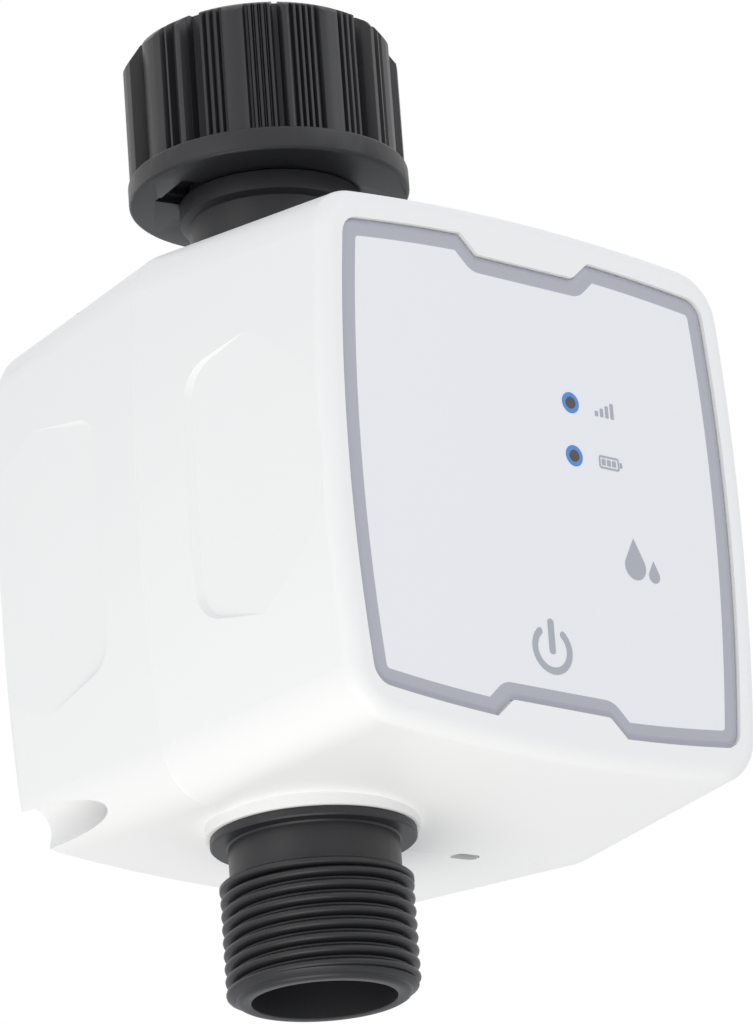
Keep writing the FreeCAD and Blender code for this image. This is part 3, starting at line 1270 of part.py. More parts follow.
def make_gears():
    half_pitch = as_size(180.0) / WHEEL
    output = Piece("output_gear")
    output.face_front(0, 0, 0)
    output.pad("Z", GEAR_BACK, OUTPUT_HIGH + S.gear_hub_height, circle(0, 0, S.gear_hub_radius))
    output.pad("Z", OUTPUT_HIGH, OUTPUT_HIGH + S.gear_hub_height,
               box(-S.cam_radius, 0, -S.cam_width / 2, S.cam_width / 2))
    add_teeth(output, WHEEL, S.output_module, OUTPUT_LOW, OUTPUT_HIGH, S.second_gear_angle + half_pitch)
    drive = S.square_drive + S.drive_gap * 2
    output.pocket("Z", GEAR_BACK - 1, OUTPUT_HIGH + S.gear_hub_height, centred_box(0, 0, drive, drive))
    second = Piece("second_gear")
    second.face_front(SECOND_AT[0], 0, SECOND_AT[1])
    second.pad("Z", GEAR_BACK, CASE_INSIDE - S.gear_side_gap, circle(0, 0, S.pin_radius + 1.3))
    add_teeth(second, PINION, S.output_module, OUTPUT_LOW - 0.3, SECOND_LOW, S.second_gear_angle + 180)
    add_teeth(second, WHEEL, S.second_module, SECOND_LOW, SECOND_HIGH, S.first_gear_angle + half_pitch)
    second.pocket("Z", GEAR_BACK - 1, CASE_INSIDE, circle(0, 0, S.pin_radius + S.pin_gap))
    first = Piece("first_gear")
    first.face_front(FIRST_AT[0], 0, FIRST_AT[1])
    first.pad("Z", GEAR_BACK, CASE_INSIDE - S.gear_side_gap, circle(0, 0, S.pin_radius + 1.3))
    add_teeth(first, PINION, S.second_module, SECOND_LOW, FIRST_LOW, S.first_gear_angle + 180)
    add_teeth(first, WHEEL, S.first_module, FIRST_LOW, FIRST_HIGH, S.motor_angle + half_pitch)
    first.pocket("Z", GEAR_BACK - 1, CASE_INSIDE, circle(0, 0, S.pin_radius + S.pin_gap))
    pinion = Piece("motor_pinion")
    pinion.face_front(MOTOR_AT[0], 0, MOTOR_AT[1])
    pinion.pad("Z", FIRST_LOW - 4, FIRST_LOW, circle(0, 0, S.shaft_radius + 1.4))
    add_teeth(pinion, PINION, S.first_module, FIRST_LOW, FIRST_HIGH, S.motor_angle + 180)
    pinion.pocket("Z", FIRST_LOW - 5, FIRST_HIGH, circle(0, 0, S.shaft_radius + 0.01))
    pins = [rod((x, -(S.gear_floor - S.gear_floor_thickness), z), (0, -1, 0), S.pin_radius,
                S.gear_cover_face - S.gear_floor + S.gear_floor_thickness - 0.3)
            for x, z in (SECOND_AT, FIRST_AT)]
    shape_piece("gear_pins", Part.makeCompound(pins))


POSTS = [(-17.5, 17.5), (-17.5, -17.5), (37.5, 21.5), (37.0, -29.5)]


def case_outline(inset=0.0):
    """The gearbox seen from the front."""
    inset = as_size(inset)
    left, right = -S.case_left + inset, S.case_right - inset
    top, bottom = S.case_top - inset, -S.case_bottom + inset
    side = S.case_left - inset
    return polygon([(left, -side, 2.0), (10.5 + inset, -side), (18.5 + inset * 0.4, bottom, 2.0),
                    (40.5 - inset * 0.4, bottom, 2.0), (right, -20.5, 3.0), (right, 10.5, 3.0),
                    (40.5 - inset * 0.4, top, 2.0), (12.0, top), (left, side, 2.0)])


def make_gearbox():
    """Base with floor, wall, bearings and posts; and its cover with the front bearings."""
    floor_low = S.gear_floor - S.gear_floor_thickness
    base = Piece("gearbox_base")
    base.pad("Y", -CASE_INSIDE + 0.03, -floor_low, case_outline())
    base.pocket("Y", -CASE_INSIDE - 1, -S.gear_floor, case_outline(S.gear_wall))
    for x, z in POSTS:
        base.pad("Y", -CASE_INSIDE + 1.0, -S.gear_floor, circle(x, z, S.case_post))
    holes = [circle(0, 0, S.boss_radius + 0.1), circle(MOTOR_AT[0], MOTOR_AT[1], S.motor_boss_radius + 0.1)]
    holes += [circle(x, z, S.pin_radius + 0.01) for x, z in (SECOND_AT, FIRST_AT)]
    holes += [circle(S.mount_screw_x * side, S.mount_screw_z * up, S.small_screw / 2 + S.screw_gap)
              for side in (1, -1) for up in (1, -1)]
    holes += [circle(MOTOR_AT[0] + S.motor_screw_pitch / 2 * side, MOTOR_AT[1],
                     S.small_screw / 2 + S.screw_gap) for side in (1, -1)]
    base.pocket("Y", -S.gear_floor - 1, -floor_low, several(*holes))
    base.pocket("Y", -CASE_INSIDE, -S.gear_floor - 1,
                several(*[circle(x, z, S.small_screw / 2 + 0.02) for x, z in POSTS]))
    cover = Piece("gearbox_cover")
    cover.pad("Y", -S.gear_cover_face, -CASE_INSIDE, case_outline())
    for x, z in POSTS:
        cover.pad("Y", -CASE_INSIDE, -CASE_INSIDE + 0.97, circle(x, z, S.case_post - 0.5))
    holes = [circle(0, 0, S.journal_radius + S.stem_gap)]
    holes += [circle(x, z, S.pin_radius + 0.01) for x, z in (SECOND_AT, FIRST_AT)]
    holes += [circle(MOTOR_AT[0], MOTOR_AT[1], S.shaft_radius + S.pin_gap)]
    cover.pocket("Y", -S.gear_cover_face, -CASE_INSIDE, several(*holes))
    cover.pocket("Y", -S.gear_cover_face, -CASE_INSIDE,
                 several(*[circle(x, z, S.small_head / 2 + 0.1) for x, z in POSTS]))
    cover.pocket("Y", -CASE_INSIDE - 1, -CASE_INSIDE + 0.97,
                 several(*[circle(x, z, S.small_screw / 2 + S.screw_gap) for x, z in POSTS]))
    small_screws("gearbox_screws", [(x, -CASE_INSIDE, z) for x, z in POSTS], (0, 1, 0),
                 S.small_screw_length)
    small_screws("mount_screws", [(S.mount_screw_x * side, -S.gear_floor, S.mount_screw_z * up)
                                  for side in (1, -1) for up in (1, -1)], (0, 1, 0),
                 S.gear_floor_thickness + S.lug_thickness)
    switches = []
    reach, width, length = float(S.switch_reach), float(S.switch_width), float(S.switch_length)
    back, front = float(OUTPUT_HIGH + 0.8), float(CASE_INSIDE) - 0.03
    for turn in (180.0, 90.0):
        body = block(reach, -front, -length / 2, width, front - back, length)
        button = rod((reach - float(S.switch_button), -back - 1.0, 0), (1, 0, 0), 0.7, 1.5)
        switch = body.fuse(button).removeSplitter()
        switch.rotate(Vector(), Vector(0, -1, 0), turn)
        switches.append(switch)
    shape_piece("limit_switches", Part.makeCompound(switches))


def make_motor():
    """The can with two flats and its front boss; the shaft turns in it."""
    front = S.gear_floor - S.gear_floor_thickness
    x, z = MOTOR_AT
    can = Piece("motor")
    can.pad("Y", -front, -front + S.motor_length, circle(x, z, S.motor_radius))
    trim = S.motor_radius - S.motor_flat / 2
    for up in (1, -1):
        can.pocket("Y", -front, -front + S.motor_length,
                   centred_box(x, z + (S.motor_radius + trim) * up - trim * 1.5 * up + trim * up / 2,
                               S.motor_radius * 2, trim * 2))
    can.pad("Y", -front - S.motor_boss_height, -front, circle(x, z, S.motor_boss_radius))
    can.pad("Y", -front + S.motor_length, -front + S.motor_length + 1.6, circle(x, z, S.motor_boss_radius))
    can.pocket("Y", -front - S.motor_boss_height - 1, -front + S.motor_length - 2,
               circle(x, z, S.shaft_radius + S.shaft_gap))
    can.pocket("Y", -front, -front + 5,
               several(*[circle(x + S.motor_screw_pitch / 2 * side, z, S.small_screw / 2 + 0.02)
                         for side in (1, -1)]))
    shaft = Piece("motor_shaft")
    shaft.pad("Y", -S.gear_cover_face + 0.3, -front + S.motor_length - 2.2, circle(x, z, S.shaft_radius))
    small_screws("motor_screws", [(x + S.motor_screw_pitch / 2 * side, -S.gear_floor, z)
                                  for side in (1, -1)], (0, 1, 0), S.small_screw_length)


# Electronics


def make_electronics():
    """Main board with its parts, in front of the gearbox."""
    face, back = S.board_face, S.board_face - S.board_thickness
    board = Piece("main_board")
    board.pad("Y", -face, -back,
              centred_box(CENTRE_X, S.board_centre_z, S.board_width, S.board_height, 2.0))
    spots = [(CENTRE_X + S.board_screw_x * side, S.board_centre_z + S.board_screw_z * up)
             for side, up in ((-1, 1), (1, 1), (-1, -1))]
    board.pocket("Y", -face, -back, several(*[circle(x, z, S.small_screw / 2 + S.screw_gap)
                                              for x, z in spots]))
    small_screws("board_screws", [(x, -back, z) for x, z in spots], (0, -1, 0),
                 FRONT_INSIDE - back + 0.2)
    lamps = [block(x - S.lamp_chip / 2, -face - S.lamp_chip_height, z - S.lamp_chip / 2,
                   S.lamp_chip, S.lamp_chip_height, S.lamp_chip) for x, z in LAMPS]
    shape_piece("status_lamps", Part.makeCompound(lamps))
    tact = Piece("tact_switch")
    tact.pad("Y", -face - S.switch_height, -face,
             centred_box(CENTRE_X, S.key_z, S.switch_size, S.switch_size, 0.5))
    tact.pocket("Y", -face - S.switch_height - 1, -face, circle(CENTRE_X, S.key_z, 1.35))
    button = Piece("tact_button")
    button.pad("Y", -FRONT_INSIDE + 0.5, -face - S.key_travel - 0.05, circle(CENTRE_X, S.key_z, 1.25))
    radio = Piece("radio_module")
    radio.pad("Y", -back, -back + 0.8,
              centred_box(CENTRE_X, S.top_strip_z, S.radio_width, S.radio_depth))
    radio.pad("Y", -back + 0.8, -back + S.radio_height,
              centred_box(CENTRE_X + 2.5, S.top_strip_z, S.radio_width - 6.5, S.radio_depth - 1, 0.5))
    chip = Piece("controller_chip")
    chip.pad("Y", -face - S.chip_height, -face,
             centred_box(CENTRE_X - 8, S.chip_z, S.chip_size, S.chip_size))
    for name, side in (("battery_socket", 1), ("motor_socket", -1)):
        socket = Piece(name)
        x = CENTRE_X + S.socket_x * side
        socket.pad("Y", -back, -back + S.socket_height,
                   centred_box(x, S.top_strip_z, S.socket_width, S.socket_depth))
        socket.pocket("Y", -back + 1, -back + S.socket_height,
                      centred_box(x, S.top_strip_z, S.socket_width - 1.4, S.socket_depth - 1.4))


# Batteries


def make_cells():
    """Four cells lying across, end for end in turn, with springy contacts at both ends."""
    body_length = S.cell_length - S.cell_nub_length
    count = int(float(S.cell_count))
    levels = []
    for number in range(count):
        sign = 1 if number % 2 == 0 else -1
        level = CENTRE_Z + S.cell_pitch * (number - (count - 1) / 2.0)
        levels.append((level, sign))
        cell = Piece("battery_cell_%d" % (number + 1))
        start, end = -S.cell_length / 2, -S.cell_length / 2 + body_length
        low, high = (start, end) if sign > 0 else (-end, -start)
        cell.pad("X", CENTRE_X + low, CENTRE_X + high, circle(CELL_AXIS, level, S.cell_diameter / 2))
        nub = (end, end + S.cell_nub_length) if sign > 0 else (start * 1, start + S.cell_nub_length)
        cell.pad("X", CENTRE_X + nub[0], CENTRE_X + nub[1], circle(CELL_AXIS, level, S.cell_nub_radius))
    half_pocket = float(S.pocket_width / 2)
    thickness, leaf = float(S.contact_thickness), float(S.spring_width)
    reach = half_pocket - float(S.cell_length / 2) - 0.05
    middle_y = float(CELL_AXIS)

    def contact(side, spots):
        """A plate on the pocket wall with one bent leaf for each cell."""
        wall = float(CENTRE_X) + (half_pocket - 0.05) * side
        high, low = max(spots) + 5.0, min(spots) - 5.0
        width = float(S.contact_width)
        plate = block(min(wall, wall - thickness * side), middle_y - width / 2, low, thickness, width,
                      high - low)
        for spot in spots:
            tip = wall - reach * side
            path = [(wall - thickness * side * 0.5, spot + 4.2), (tip, spot + 0.8), (tip, spot - 0.8),
                    (wall - thickness * side * 1.8, spot - 3.6)]
            inner = [(x + thickness * side * 1.1, z) for x, z in path]
            inner[0] = (path[0][0], path[0][1] - 0.9)
            ribbon = [Vector(x, middle_y - leaf / 2, z) for x, z in path + inner[::-1]]
            strip = Part.Face(Part.makePolygon(ribbon + [ribbon[0]])).extrude(Vector(0, leaf, 0))
            plate = plate.fuse(strip)
        return plate.removeSplitter()

    heights = [float(level) for level, _ in levels]
    right = [heights[0:1], heights[1:3], heights[3:4]]
    left = [heights[0:2], heights[2:4]]
    shape_piece("end_contacts", Part.makeCompound([contact(1, right[0]), contact(1, right[2])]))
    shape_piece("bridge_contacts", Part.makeCompound(
        [contact(1, right[1]), contact(-1, left[0]), contact(-1, left[1])]))


make_front_shell()
make_rear_shell()
make_gasket()
make_fasteners_and_seals()
make_label()
make_lamps_and_key()
make_battery_cover()
make_cells()
make_valve_body()
make_outlet()
make_seats_and_ball()
make_stem()
make_nut()
make_inlet_fittings()
make_gearbox()
make_gears()
make_motor()
make_electronics()

doc.recompute()
for item in doc.Objects:
    if "Invalid" in item.State or "Error" in item.State:
        raise RuntimeError("%s failed: %s" % (item.Label, item.State))
for item in pieces:
    shape = item.Shape
    if shape.isNull() or not shape.isValid() or not shape.Solids:
        raise RuntimeError("%s has no valid shape" % item.Label)
for item in pieces:
    print(item.Label, len(item.Shape.Solids), round(item.Shape.Volume, 1))
    item.Shape.exportStep("parts/%s.step" % item.Label)
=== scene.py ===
# %% [markdown]
# # A garden tap timer, dressed for its portrait
# The object is a battery-powered tap timer: a white two-shell housing, a black ribbed nut that
# screws onto the tap, a black threaded spout for the hose, and a printed front panel. Its solid
# parts come from an engineering model. This file gives them their real finishes, and rebuilds
# the few pieces whose fine detail shows: the spout, the nut, the screw heads and the printed
# panel. It also adds the panel's marks and lamps, and two plugs in the housing's upper corners.

# %% Load the solid parts
import json
import math

import bpy
from mathutils import Matrix, Vector

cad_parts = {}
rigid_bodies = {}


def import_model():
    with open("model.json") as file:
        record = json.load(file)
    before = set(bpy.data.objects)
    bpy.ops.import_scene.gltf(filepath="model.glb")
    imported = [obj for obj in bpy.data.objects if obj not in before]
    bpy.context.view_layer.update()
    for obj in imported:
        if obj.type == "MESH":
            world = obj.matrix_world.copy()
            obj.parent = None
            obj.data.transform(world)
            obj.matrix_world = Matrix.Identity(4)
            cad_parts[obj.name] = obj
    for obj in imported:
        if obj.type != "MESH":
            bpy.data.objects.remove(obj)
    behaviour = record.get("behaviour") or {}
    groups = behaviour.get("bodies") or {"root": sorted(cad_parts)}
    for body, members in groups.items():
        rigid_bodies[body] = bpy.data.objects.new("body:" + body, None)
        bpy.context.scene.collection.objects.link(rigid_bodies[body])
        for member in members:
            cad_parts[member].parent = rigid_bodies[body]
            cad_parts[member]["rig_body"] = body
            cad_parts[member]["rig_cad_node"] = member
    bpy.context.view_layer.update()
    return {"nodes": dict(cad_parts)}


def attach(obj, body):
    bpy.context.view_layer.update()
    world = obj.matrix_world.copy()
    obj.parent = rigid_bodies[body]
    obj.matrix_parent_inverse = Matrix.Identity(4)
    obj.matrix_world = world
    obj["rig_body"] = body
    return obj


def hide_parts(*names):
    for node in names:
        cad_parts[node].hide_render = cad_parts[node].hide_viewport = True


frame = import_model()
nodes = frame["nodes"]
MM = 0.001
print("parts:", len(nodes))

# %% [markdown]
# All lengths below are in millimetres in the valve's own terms: the pipe runs along Z, the front
# panel faces -Y. The frame's origin is the open end of the nut, 77 mm above the valve's ball,
# so one helper lowers every height by that amount and turns millimetres into metres.

# %% Places and selection helpers
MOUTH = 77.0
# The middle of the housing, seen from the front: the pipe stands to the left of it.
CENTRE_X, CENTRE_Z = 14.0, 2.4
SIDES = (1, -1)
# Points closer than this, in metres, become one: in copies of solids, and in drawn pieces.
COPY_MERGE, DRAWN_MERGE = 0.000004, 0.000002


def spot(x, y, z):
    """A point given in millimetres from the valve's ball."""
    return Vector((x * MM, y * MM, (z - MOUTH) * MM))


def clear_selection():
    """Leaves edit mode and selects nothing."""
    if bpy.context.mode != "OBJECT":
        bpy.ops.object.mode_set(mode="OBJECT")
    bpy.ops.object.select_all(action="DESELECT")


def pick(*pieces):
    """Selects exactly these pieces and makes the first one active."""
    clear_selection()
    for piece in pieces:
        piece.select_set(True)
    bpy.context.view_layer.objects.active = pieces[0]
    return pieces[0]


def edit_all(piece):
    """Opens a piece in edit mode with all of it selected."""
    pick(piece)
    bpy.ops.object.mode_set(mode="EDIT")
    bpy.ops.mesh.select_all(action="SELECT")


def shade(piece, angle):
    """Shades a piece smooth, except where its faces meet at more than this many degrees."""
    pick(piece)
    bpy.ops.object.shade_smooth_by_angle(angle=math.radians(angle))
    return piece


def settle(piece):
    """Puts a piece's place into its mesh, so that its object sits at the origin."""
    pick(piece)
    bpy.ops.object.transform_apply(location=True, rotation=True, scale=True)
    return piece


def fresh_copy(node, name):
    """A merged copy of a solid part's mesh, to be refined and shown in its place."""
    piece = nodes[node].copy()
    piece.data = nodes[node].data.copy()
    piece.name = piece.data.name = name
    piece.parent = None
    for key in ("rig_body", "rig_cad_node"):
        if key in piece:
            del piece[key]
    bpy.context.scene.collection.objects.link(piece)
    edit_all(piece)
    bpy.ops.mesh.remove_doubles(threshold=COPY_MERGE)
    bpy.ops.object.mode_set(mode="OBJECT")
    return piece


def apply_modifier(piece, kind, **settings):
    """Adds one modifier, sets it up and applies it."""
    pick(piece)
    bpy.ops.object.modifier_add(type=kind)
    modifier = piece.modifiers[-1]
    for name, value in settings.items():
        setattr(modifier, name, value)
    bpy.ops.object.modifier_apply(modifier=modifier.name)
    return piece


def triangles(piece):
    """How many triangles the faces of a piece make."""
    return sum(len(p.vertices) - 2 for p in piece.data.polygons)


# %% [markdown]
# New pieces are drawn as by hand. A chain of edges is one vertex that is extruded from point to
# point. Turned about the pipe's axis by Spin, it makes any round piece with even faces, which a
# copy of the solid's loose triangles can't give.

# %% Draw a line, close a shape
def draw_line(name, points):
    """A chain of edges through these points, as a new object in edit mode."""
    clear_selection()
    bpy.ops.mesh.primitive_plane_add(size=MM, location=points[0])
    piece = bpy.context.object
    piece.name = piece.data.name = name
    bpy.ops.object.mode_set(mode="EDIT")
    bpy.ops.mesh.select_mode(type="VERT")
    bpy.ops.mesh.select_all(action="SELECT")
    bpy.ops.mesh.merge(type="CENTER")
    for before, after in zip(points, points[1:]):
        bpy.ops.mesh.extrude_vertices_move(TRANSFORM_OT_translate={"value": after - before})
    bpy.ops.mesh.select_all(action="SELECT")
    return piece


def close_up(piece, angle=30.0):
    """Merges doubles, closes holes, turns faces outwards and shades soft curves smooth."""
    if bpy.context.mode != "EDIT_MESH":
        pick(piece)
        bpy.ops.object.mode_set(mode="EDIT")
    bpy.ops.mesh.select_all(action="SELECT")
    bpy.ops.mesh.remove_doubles(threshold=DRAWN_MERGE)
    bpy.ops.mesh.select_all(action="SELECT")
    bpy.ops.mesh.fill_holes(sides=0)
    bpy.ops.mesh.select_all(action="SELECT")
    bpy.ops.mesh.normals_make_consistent(inside=False)
    settle(piece)
    return shade(piece, angle)


def lathe(name, profile, steps=144):
    """A turned piece from (radius, height) corners; the last corner joins the first."""
    piece = draw_line(name, [spot(r, 0, z) for r, z in profile + profile[:1]])
    bpy.ops.mesh.spin(steps=steps, angle=2 * math.pi, center=(0, 0, 0), axis=(0, 0, 1))
    return close_up(piece)


def join(first, *others):
    """Makes one object of several, named after the first."""
    pick(first, *others)
    bpy.ops.object.join()
    return first


# %% [markdown]
# Every finish is built from nodes. Colours are written as the sRGB values that a designer would
# read off a swatch, and turned to the linear values that light needs. One small function adds
# a node with its settings and links, so each finish below reads as a short recipe.

# %% Colour and node helpers
def linear(code):
    """An sRGB hex colour as linear light, fully opaque."""
    parts = [int(code[i:i + 2], 16) / 255.0 for i in (1, 3, 5)]
    turned = [p / 12.92 if p <= 0.04045 else ((p + 0.055) / 1.055) ** 2.4 for p in parts]
    return tuple(turned) + (1.0,)


def add(tree, kind, links=None, **settings):
    """Adds a node; settings fill sockets or properties, links join sockets to other outputs."""
    node = tree.nodes.new(kind)
    for name, value in settings.items():
        if name in node.inputs:
            node.inputs[name].default_value = value
        else:
            setattr(node, name, value)
    for name, output in (links or {}).items():
        tree.links.new(output, node.inputs[name])
    return node


# The depth of every grain in metres, how far the roughness strays, and the clouds of the
# mottle: 45 to the metre, so each is about 22 mm wide.
GRAIN_DEPTH, STRAY, CLOUDS = 0.00005, 0.05, 45.0


def finish(name, colour, roughness, ior=1.5, metallic=0.0, grain=None, bump=0.0, mottle=0.0,
           **more):
    """A moulded, printed or machined surface: base colour, fine grain and a slight variation."""
    material = bpy.data.materials.new(name)
    material.use_nodes = True
    tree = material.node_tree
    surface = tree.nodes["Principled BSDF"]
    surface.inputs["Base Color"].default_value = linear(colour)
    surface.inputs["Roughness"].default_value = roughness
    surface.inputs["IOR"].default_value = ior
    surface.inputs["Metallic"].default_value = metallic
    for socket, value in more.items():
        surface.inputs[socket.replace("_", " ")].default_value = value
    place = add(tree, "ShaderNodeTexCoord")
    if grain:
        texture = add(tree, "ShaderNodeTexNoise", {"Vector": place.outputs["Object"]},
                      Scale=1.0 / (grain * MM), Detail=3.0)
        relief = add(tree, "ShaderNodeBump", {"Height": texture.outputs["Fac"]},
                     Strength=bump, Distance=GRAIN_DEPTH)
        tree.links.new(relief.outputs["Normal"], surface.inputs["Normal"])
        spread = add(tree, "ShaderNodeMapRange", {"Value": texture.outputs["Fac"]})
        spread.inputs["To Min"].default_value = roughness - STRAY
        spread.inputs["To Max"].default_value = roughness + STRAY
        tree.links.new(spread.outputs["Result"], surface.inputs["Roughness"])
    if mottle:
        cloud = add(tree, "ShaderNodeTexNoise", {"Vector": place.outputs["Object"]}, Scale=CLOUDS)
        tint = add(tree, "ShaderNodeHueSaturation", Color=linear(colour))
        lightness = add(tree, "ShaderNodeMapRange", {"Value": cloud.outputs["Fac"]})
        lightness.inputs["To Min"].default_value = 1.0 - mottle
        lightness.inputs["To Max"].default_value = 1.0 + mottle
        tree.links.new(lightness.outputs["Result"], tint.inputs["Value"])
        tree.links.new(tint.outputs["Color"], surface.inputs["Base Color"])
    return material


def wear(material, *pieces):
    """Gives each piece this one finish all over."""
    for piece in pieces:
        piece.data.materials.clear()
        piece.data.materials.append(material)
        for face in piece.data.polygons:
            face.material_index = 0


# %% [markdown]
# The outside has two moulded plastics and a sheet. The shells are white ABS from a
# spark-eroded mould, whose fine pits soften every highlight. The nut, pipe and spout are black
# nylon filled with glass fibre, which gives a broken sheen. The panel is printed polycarbonate.
# Grain sizes are the real ones in millimetres where the render can show them.

# %% Finishes of the outside
# Satin, with 0.35 mm pits: the eye sees soft edges and no mirror image.
white_abs = finish("SparkErodedWhiteABS", "#F3F3F2", 0.42, 1.53, grain=0.35, bump=0.10,
                   mottle=0.006)
# Fibres near the skin give a broken grey sheen; real fibres are 0.3 mm long.
black_nylon = finish("GlassFilledBlackNylon", "#202023", 0.42, 1.5, grain=0.30, bump=0.28,
                     mottle=0.05)
# A velvet-textured sheet: the texture is 0.05 mm on the real one, and is drawn at 0.5 mm.
panel_face = finish("VelvetPolycarbonateSheet", "#EEEFF2", 0.36, 1.58, grain=0.5, bump=0.05,
                    mottle=0.004)
# The same sheet over a grey print, a touch cooler than the housing.
panel_band = finish("GreyPrintedPolycarbonate", "#AEB0B9", 0.36, 1.58, grain=0.5, bump=0.05)
# Screen ink lies flat and slightly duller than the sheet.
grey_ink = finish("ScreenPrintedGreyInk", "#ACB0B8", 0.45, 1.5, grain=0.3, bump=0.04)
# The rings' ink is the one strong colour on the outside, a little glossier than the grey.
blue_ink = finish("ScreenPrintedBlueInk", "#4A8BD6", 0.4, 1.5, grain=0.2, bump=0.03)
# A smoked window is smooth, so it is the one glossy spot on the panel.
smoked_window = finish("SmokedLampWindow", "#4A3B3C", 0.15, 1.58, grain=0.2, bump=0.02)

# %% [markdown]
# Inside, each piece keeps the finish of the real one. These surfaces are hidden in the portrait
# and show when the parts are pulled apart: plated steel, chromed brass, acetal, PTFE, nitrile,
# glass-epoxy board, and cells in a printed sleeve.

# %% Finishes of the inside
# Zinc plating is bright but faintly cloudy.
zinc_steel = finish("ZincPlatedSteel", "#B9BABD", 0.32, metallic=1.0, grain=0.4, bump=0.06)
# Nickel is warmer and smoother, rolled or deep-drawn before plating.
nickel_steel = finish("NickelPlatedSteel", "#C4C1BA", 0.24, metallic=1.0, grain=0.6, bump=0.05)
# The ball is lapped before chroming, so it mirrors its seats.
chromed_brass = finish("LappedChromedBrass", "#D8D9DC", 0.08, metallic=1.0, grain=0.8, bump=0.02)
# Turned brass keeps a fine tool mark.
turned_brass = finish("TurnedBrass", "#C6A15A", 0.28, metallic=1.0, grain=0.15, bump=0.06)
# Rubber swallows light and has almost no highlight.
nitrile = finish("MouldedNitrileRubber", "#1B1B1C", 0.75, 1.52, grain=0.25, bump=0.2)
# Acetal looks like ivory soap, slightly glossy.
acetal = finish("MouldedNaturalAcetal", "#EAE7DC", 0.38, 1.48, grain=0.4, bump=0.05)
# PTFE is chalk white and waxy, with a low index.
ptfe = finish("TurnedPTFE", "#F1F0EC", 0.5, 1.38, grain=0.3, bump=0.08)
# The cheap grey of parts that are hardly seen.
grey_abs = finish("MouldedGreyABS", "#83868B", 0.48, 1.53, grain=0.35, bump=0.12)
# Moulded light pipes are polished and nearly clear.
clear_acrylic = finish("PolishedClearAcrylic", "#E8EEF4", 0.05, 1.49, grain=0.8, bump=0.01,
                       Transmission_Weight=0.85)
# Green lacquer over the copper, glossy, with the weave of the glass cloth just under it.
solder_mask = finish("GreenSolderMask", "#1D5B37", 0.3, 1.55, grain=0.7, bump=0.08)
# Epoxy packages are matt from their mould.
black_moulding = finish("MattBlackEpoxy", "#26262A", 0.55, 1.55, grain=0.2, bump=0.15)
# The sleeve is a shrunk plastic film over a steel can, so it has a metallic glint.
cell_sleeve = finish("ShrunkCellSleeve", "#4A5560", 0.3, 1.5, metallic=0.6, grain=0.5, bump=0.03)

PARTS = {
    white_abs: ["front_shell", "rear_shell", "battery_cover"],
    black_nylon: ["valve_body", "outlet_fitting", "inlet_nut"],
    panel_face: ["label_panel"],
    zinc_steel: ["housing_screws", "cover_screws", "valve_screws", "gearbox_screws",
                 "mount_screws", "motor_screws", "board_screws", "gear_pins", "motor_shaft",
                 "swivel_clip"],
    nickel_steel: ["end_contacts", "bridge_contacts", "motor", "radio_module"],
    chromed_brass: ["ball"],
    turned_brass: ["stem", "motor_pinion"],
    nitrile: ["housing_gasket", "inlet_gland_seal", "outlet_gland_seal", "cover_seal",
              "outlet_seal", "stem_seals", "tap_washer"],
    acetal: ["output_gear", "second_gear", "first_gear", "battery_socket", "motor_socket"],
    ptfe: ["upper_seat", "lower_seat"],
    grey_abs: ["power_key", "strainer", "gearbox_base", "gearbox_cover"],
    clear_acrylic: ["light_pipes", "status_lamps"],
    solder_mask: ["main_board"],
    black_moulding: ["limit_switches", "tact_switch", "tact_button", "controller_chip"],
    cell_sleeve: ["battery_cell_1", "battery_cell_2", "battery_cell_3", "battery_cell_4"],
}
for material, names in PARTS.items():
    wear(material, *[nodes[name] for name in names])
dressed = sum(len(names) for names in PARTS.values())
print("dressed:", dressed, "of", len(nodes))

# %% [markdown]
# ## The spout
# The hose screws onto a three-quarter inch pipe thread, 1.814 mm to a turn. A thread could be a
# texture, but its outline shows against the light, so it is real. The hidden top of the spout,
# with its seal groove and screw ears, is cut from the solid part. The visible end is turned on
# the lathe above: flange, neck, a full ring, the root of the thread and a plain end.

# %% Turn the spout's visible end
PITCH = 1.814
CREST, ROOT = 13.2, 12.04
SPOUT_CUT = -37.6
OVERLAP = 0.1

spout_end = lathe("spout_end", [
    (8.0, SPOUT_CUT + OVERLAP), (11.48, SPOUT_CUT + OVERLAP), (11.48, -38.9), (13.95, -38.9),
    (14.1, -39.05), (14.1, -39.95), (13.9, -40.15), (11.95, -40.15), (11.7, -40.4),
    (11.7, -45.3), (11.85, -45.5), (13.0, -45.62), (13.2, -45.8), (13.2, -46.3),
    (13.05, -46.45), (ROOT, -46.85), (ROOT, -60.2), (12.75, -60.5), (12.85, -60.7),
    (12.7, -60.9), (11.95, -61.3), (11.88, -61.45), (11.88, -61.55), (11.75, -61.75),
    (11.35, -61.97), (11.15, -62.0), (10.1, -62.0), (9.9, -61.9), (9.87, -61.7),
    (9.87, -48.0), (8.0, -47.0)])
print("spout end:", triangles(spout_end), "triangles")

# %% [markdown]
# The solid part is cut with Bisect inside the housing, where nobody sees the joint, and its
# upper half is kept.

# %% Keep the spout's hidden top
spout = fresh_copy("outlet_fitting", "threaded_spout")
edit_all(spout)
bpy.ops.mesh.bisect(plane_co=spot(0, 0, SPOUT_CUT), plane_no=(0, 0, 1), use_fill=True,
                    clear_inner=True)
shade(spout, 25)
print("spout top:", triangles(spout), "triangles")


# %% [markdown]
# The ridge is a closed profile, drawn across the thread and swept by the Screw modifier. Each
# ring of the sweep knows its angle, so the ridge can grow out of the root at its start, as a
# moulded thread does, and stop where it runs into the full ring.

# %% Sweep a helical ridge
# How far below the root the ridge lies where it has faded out.
SUNK = 0.2


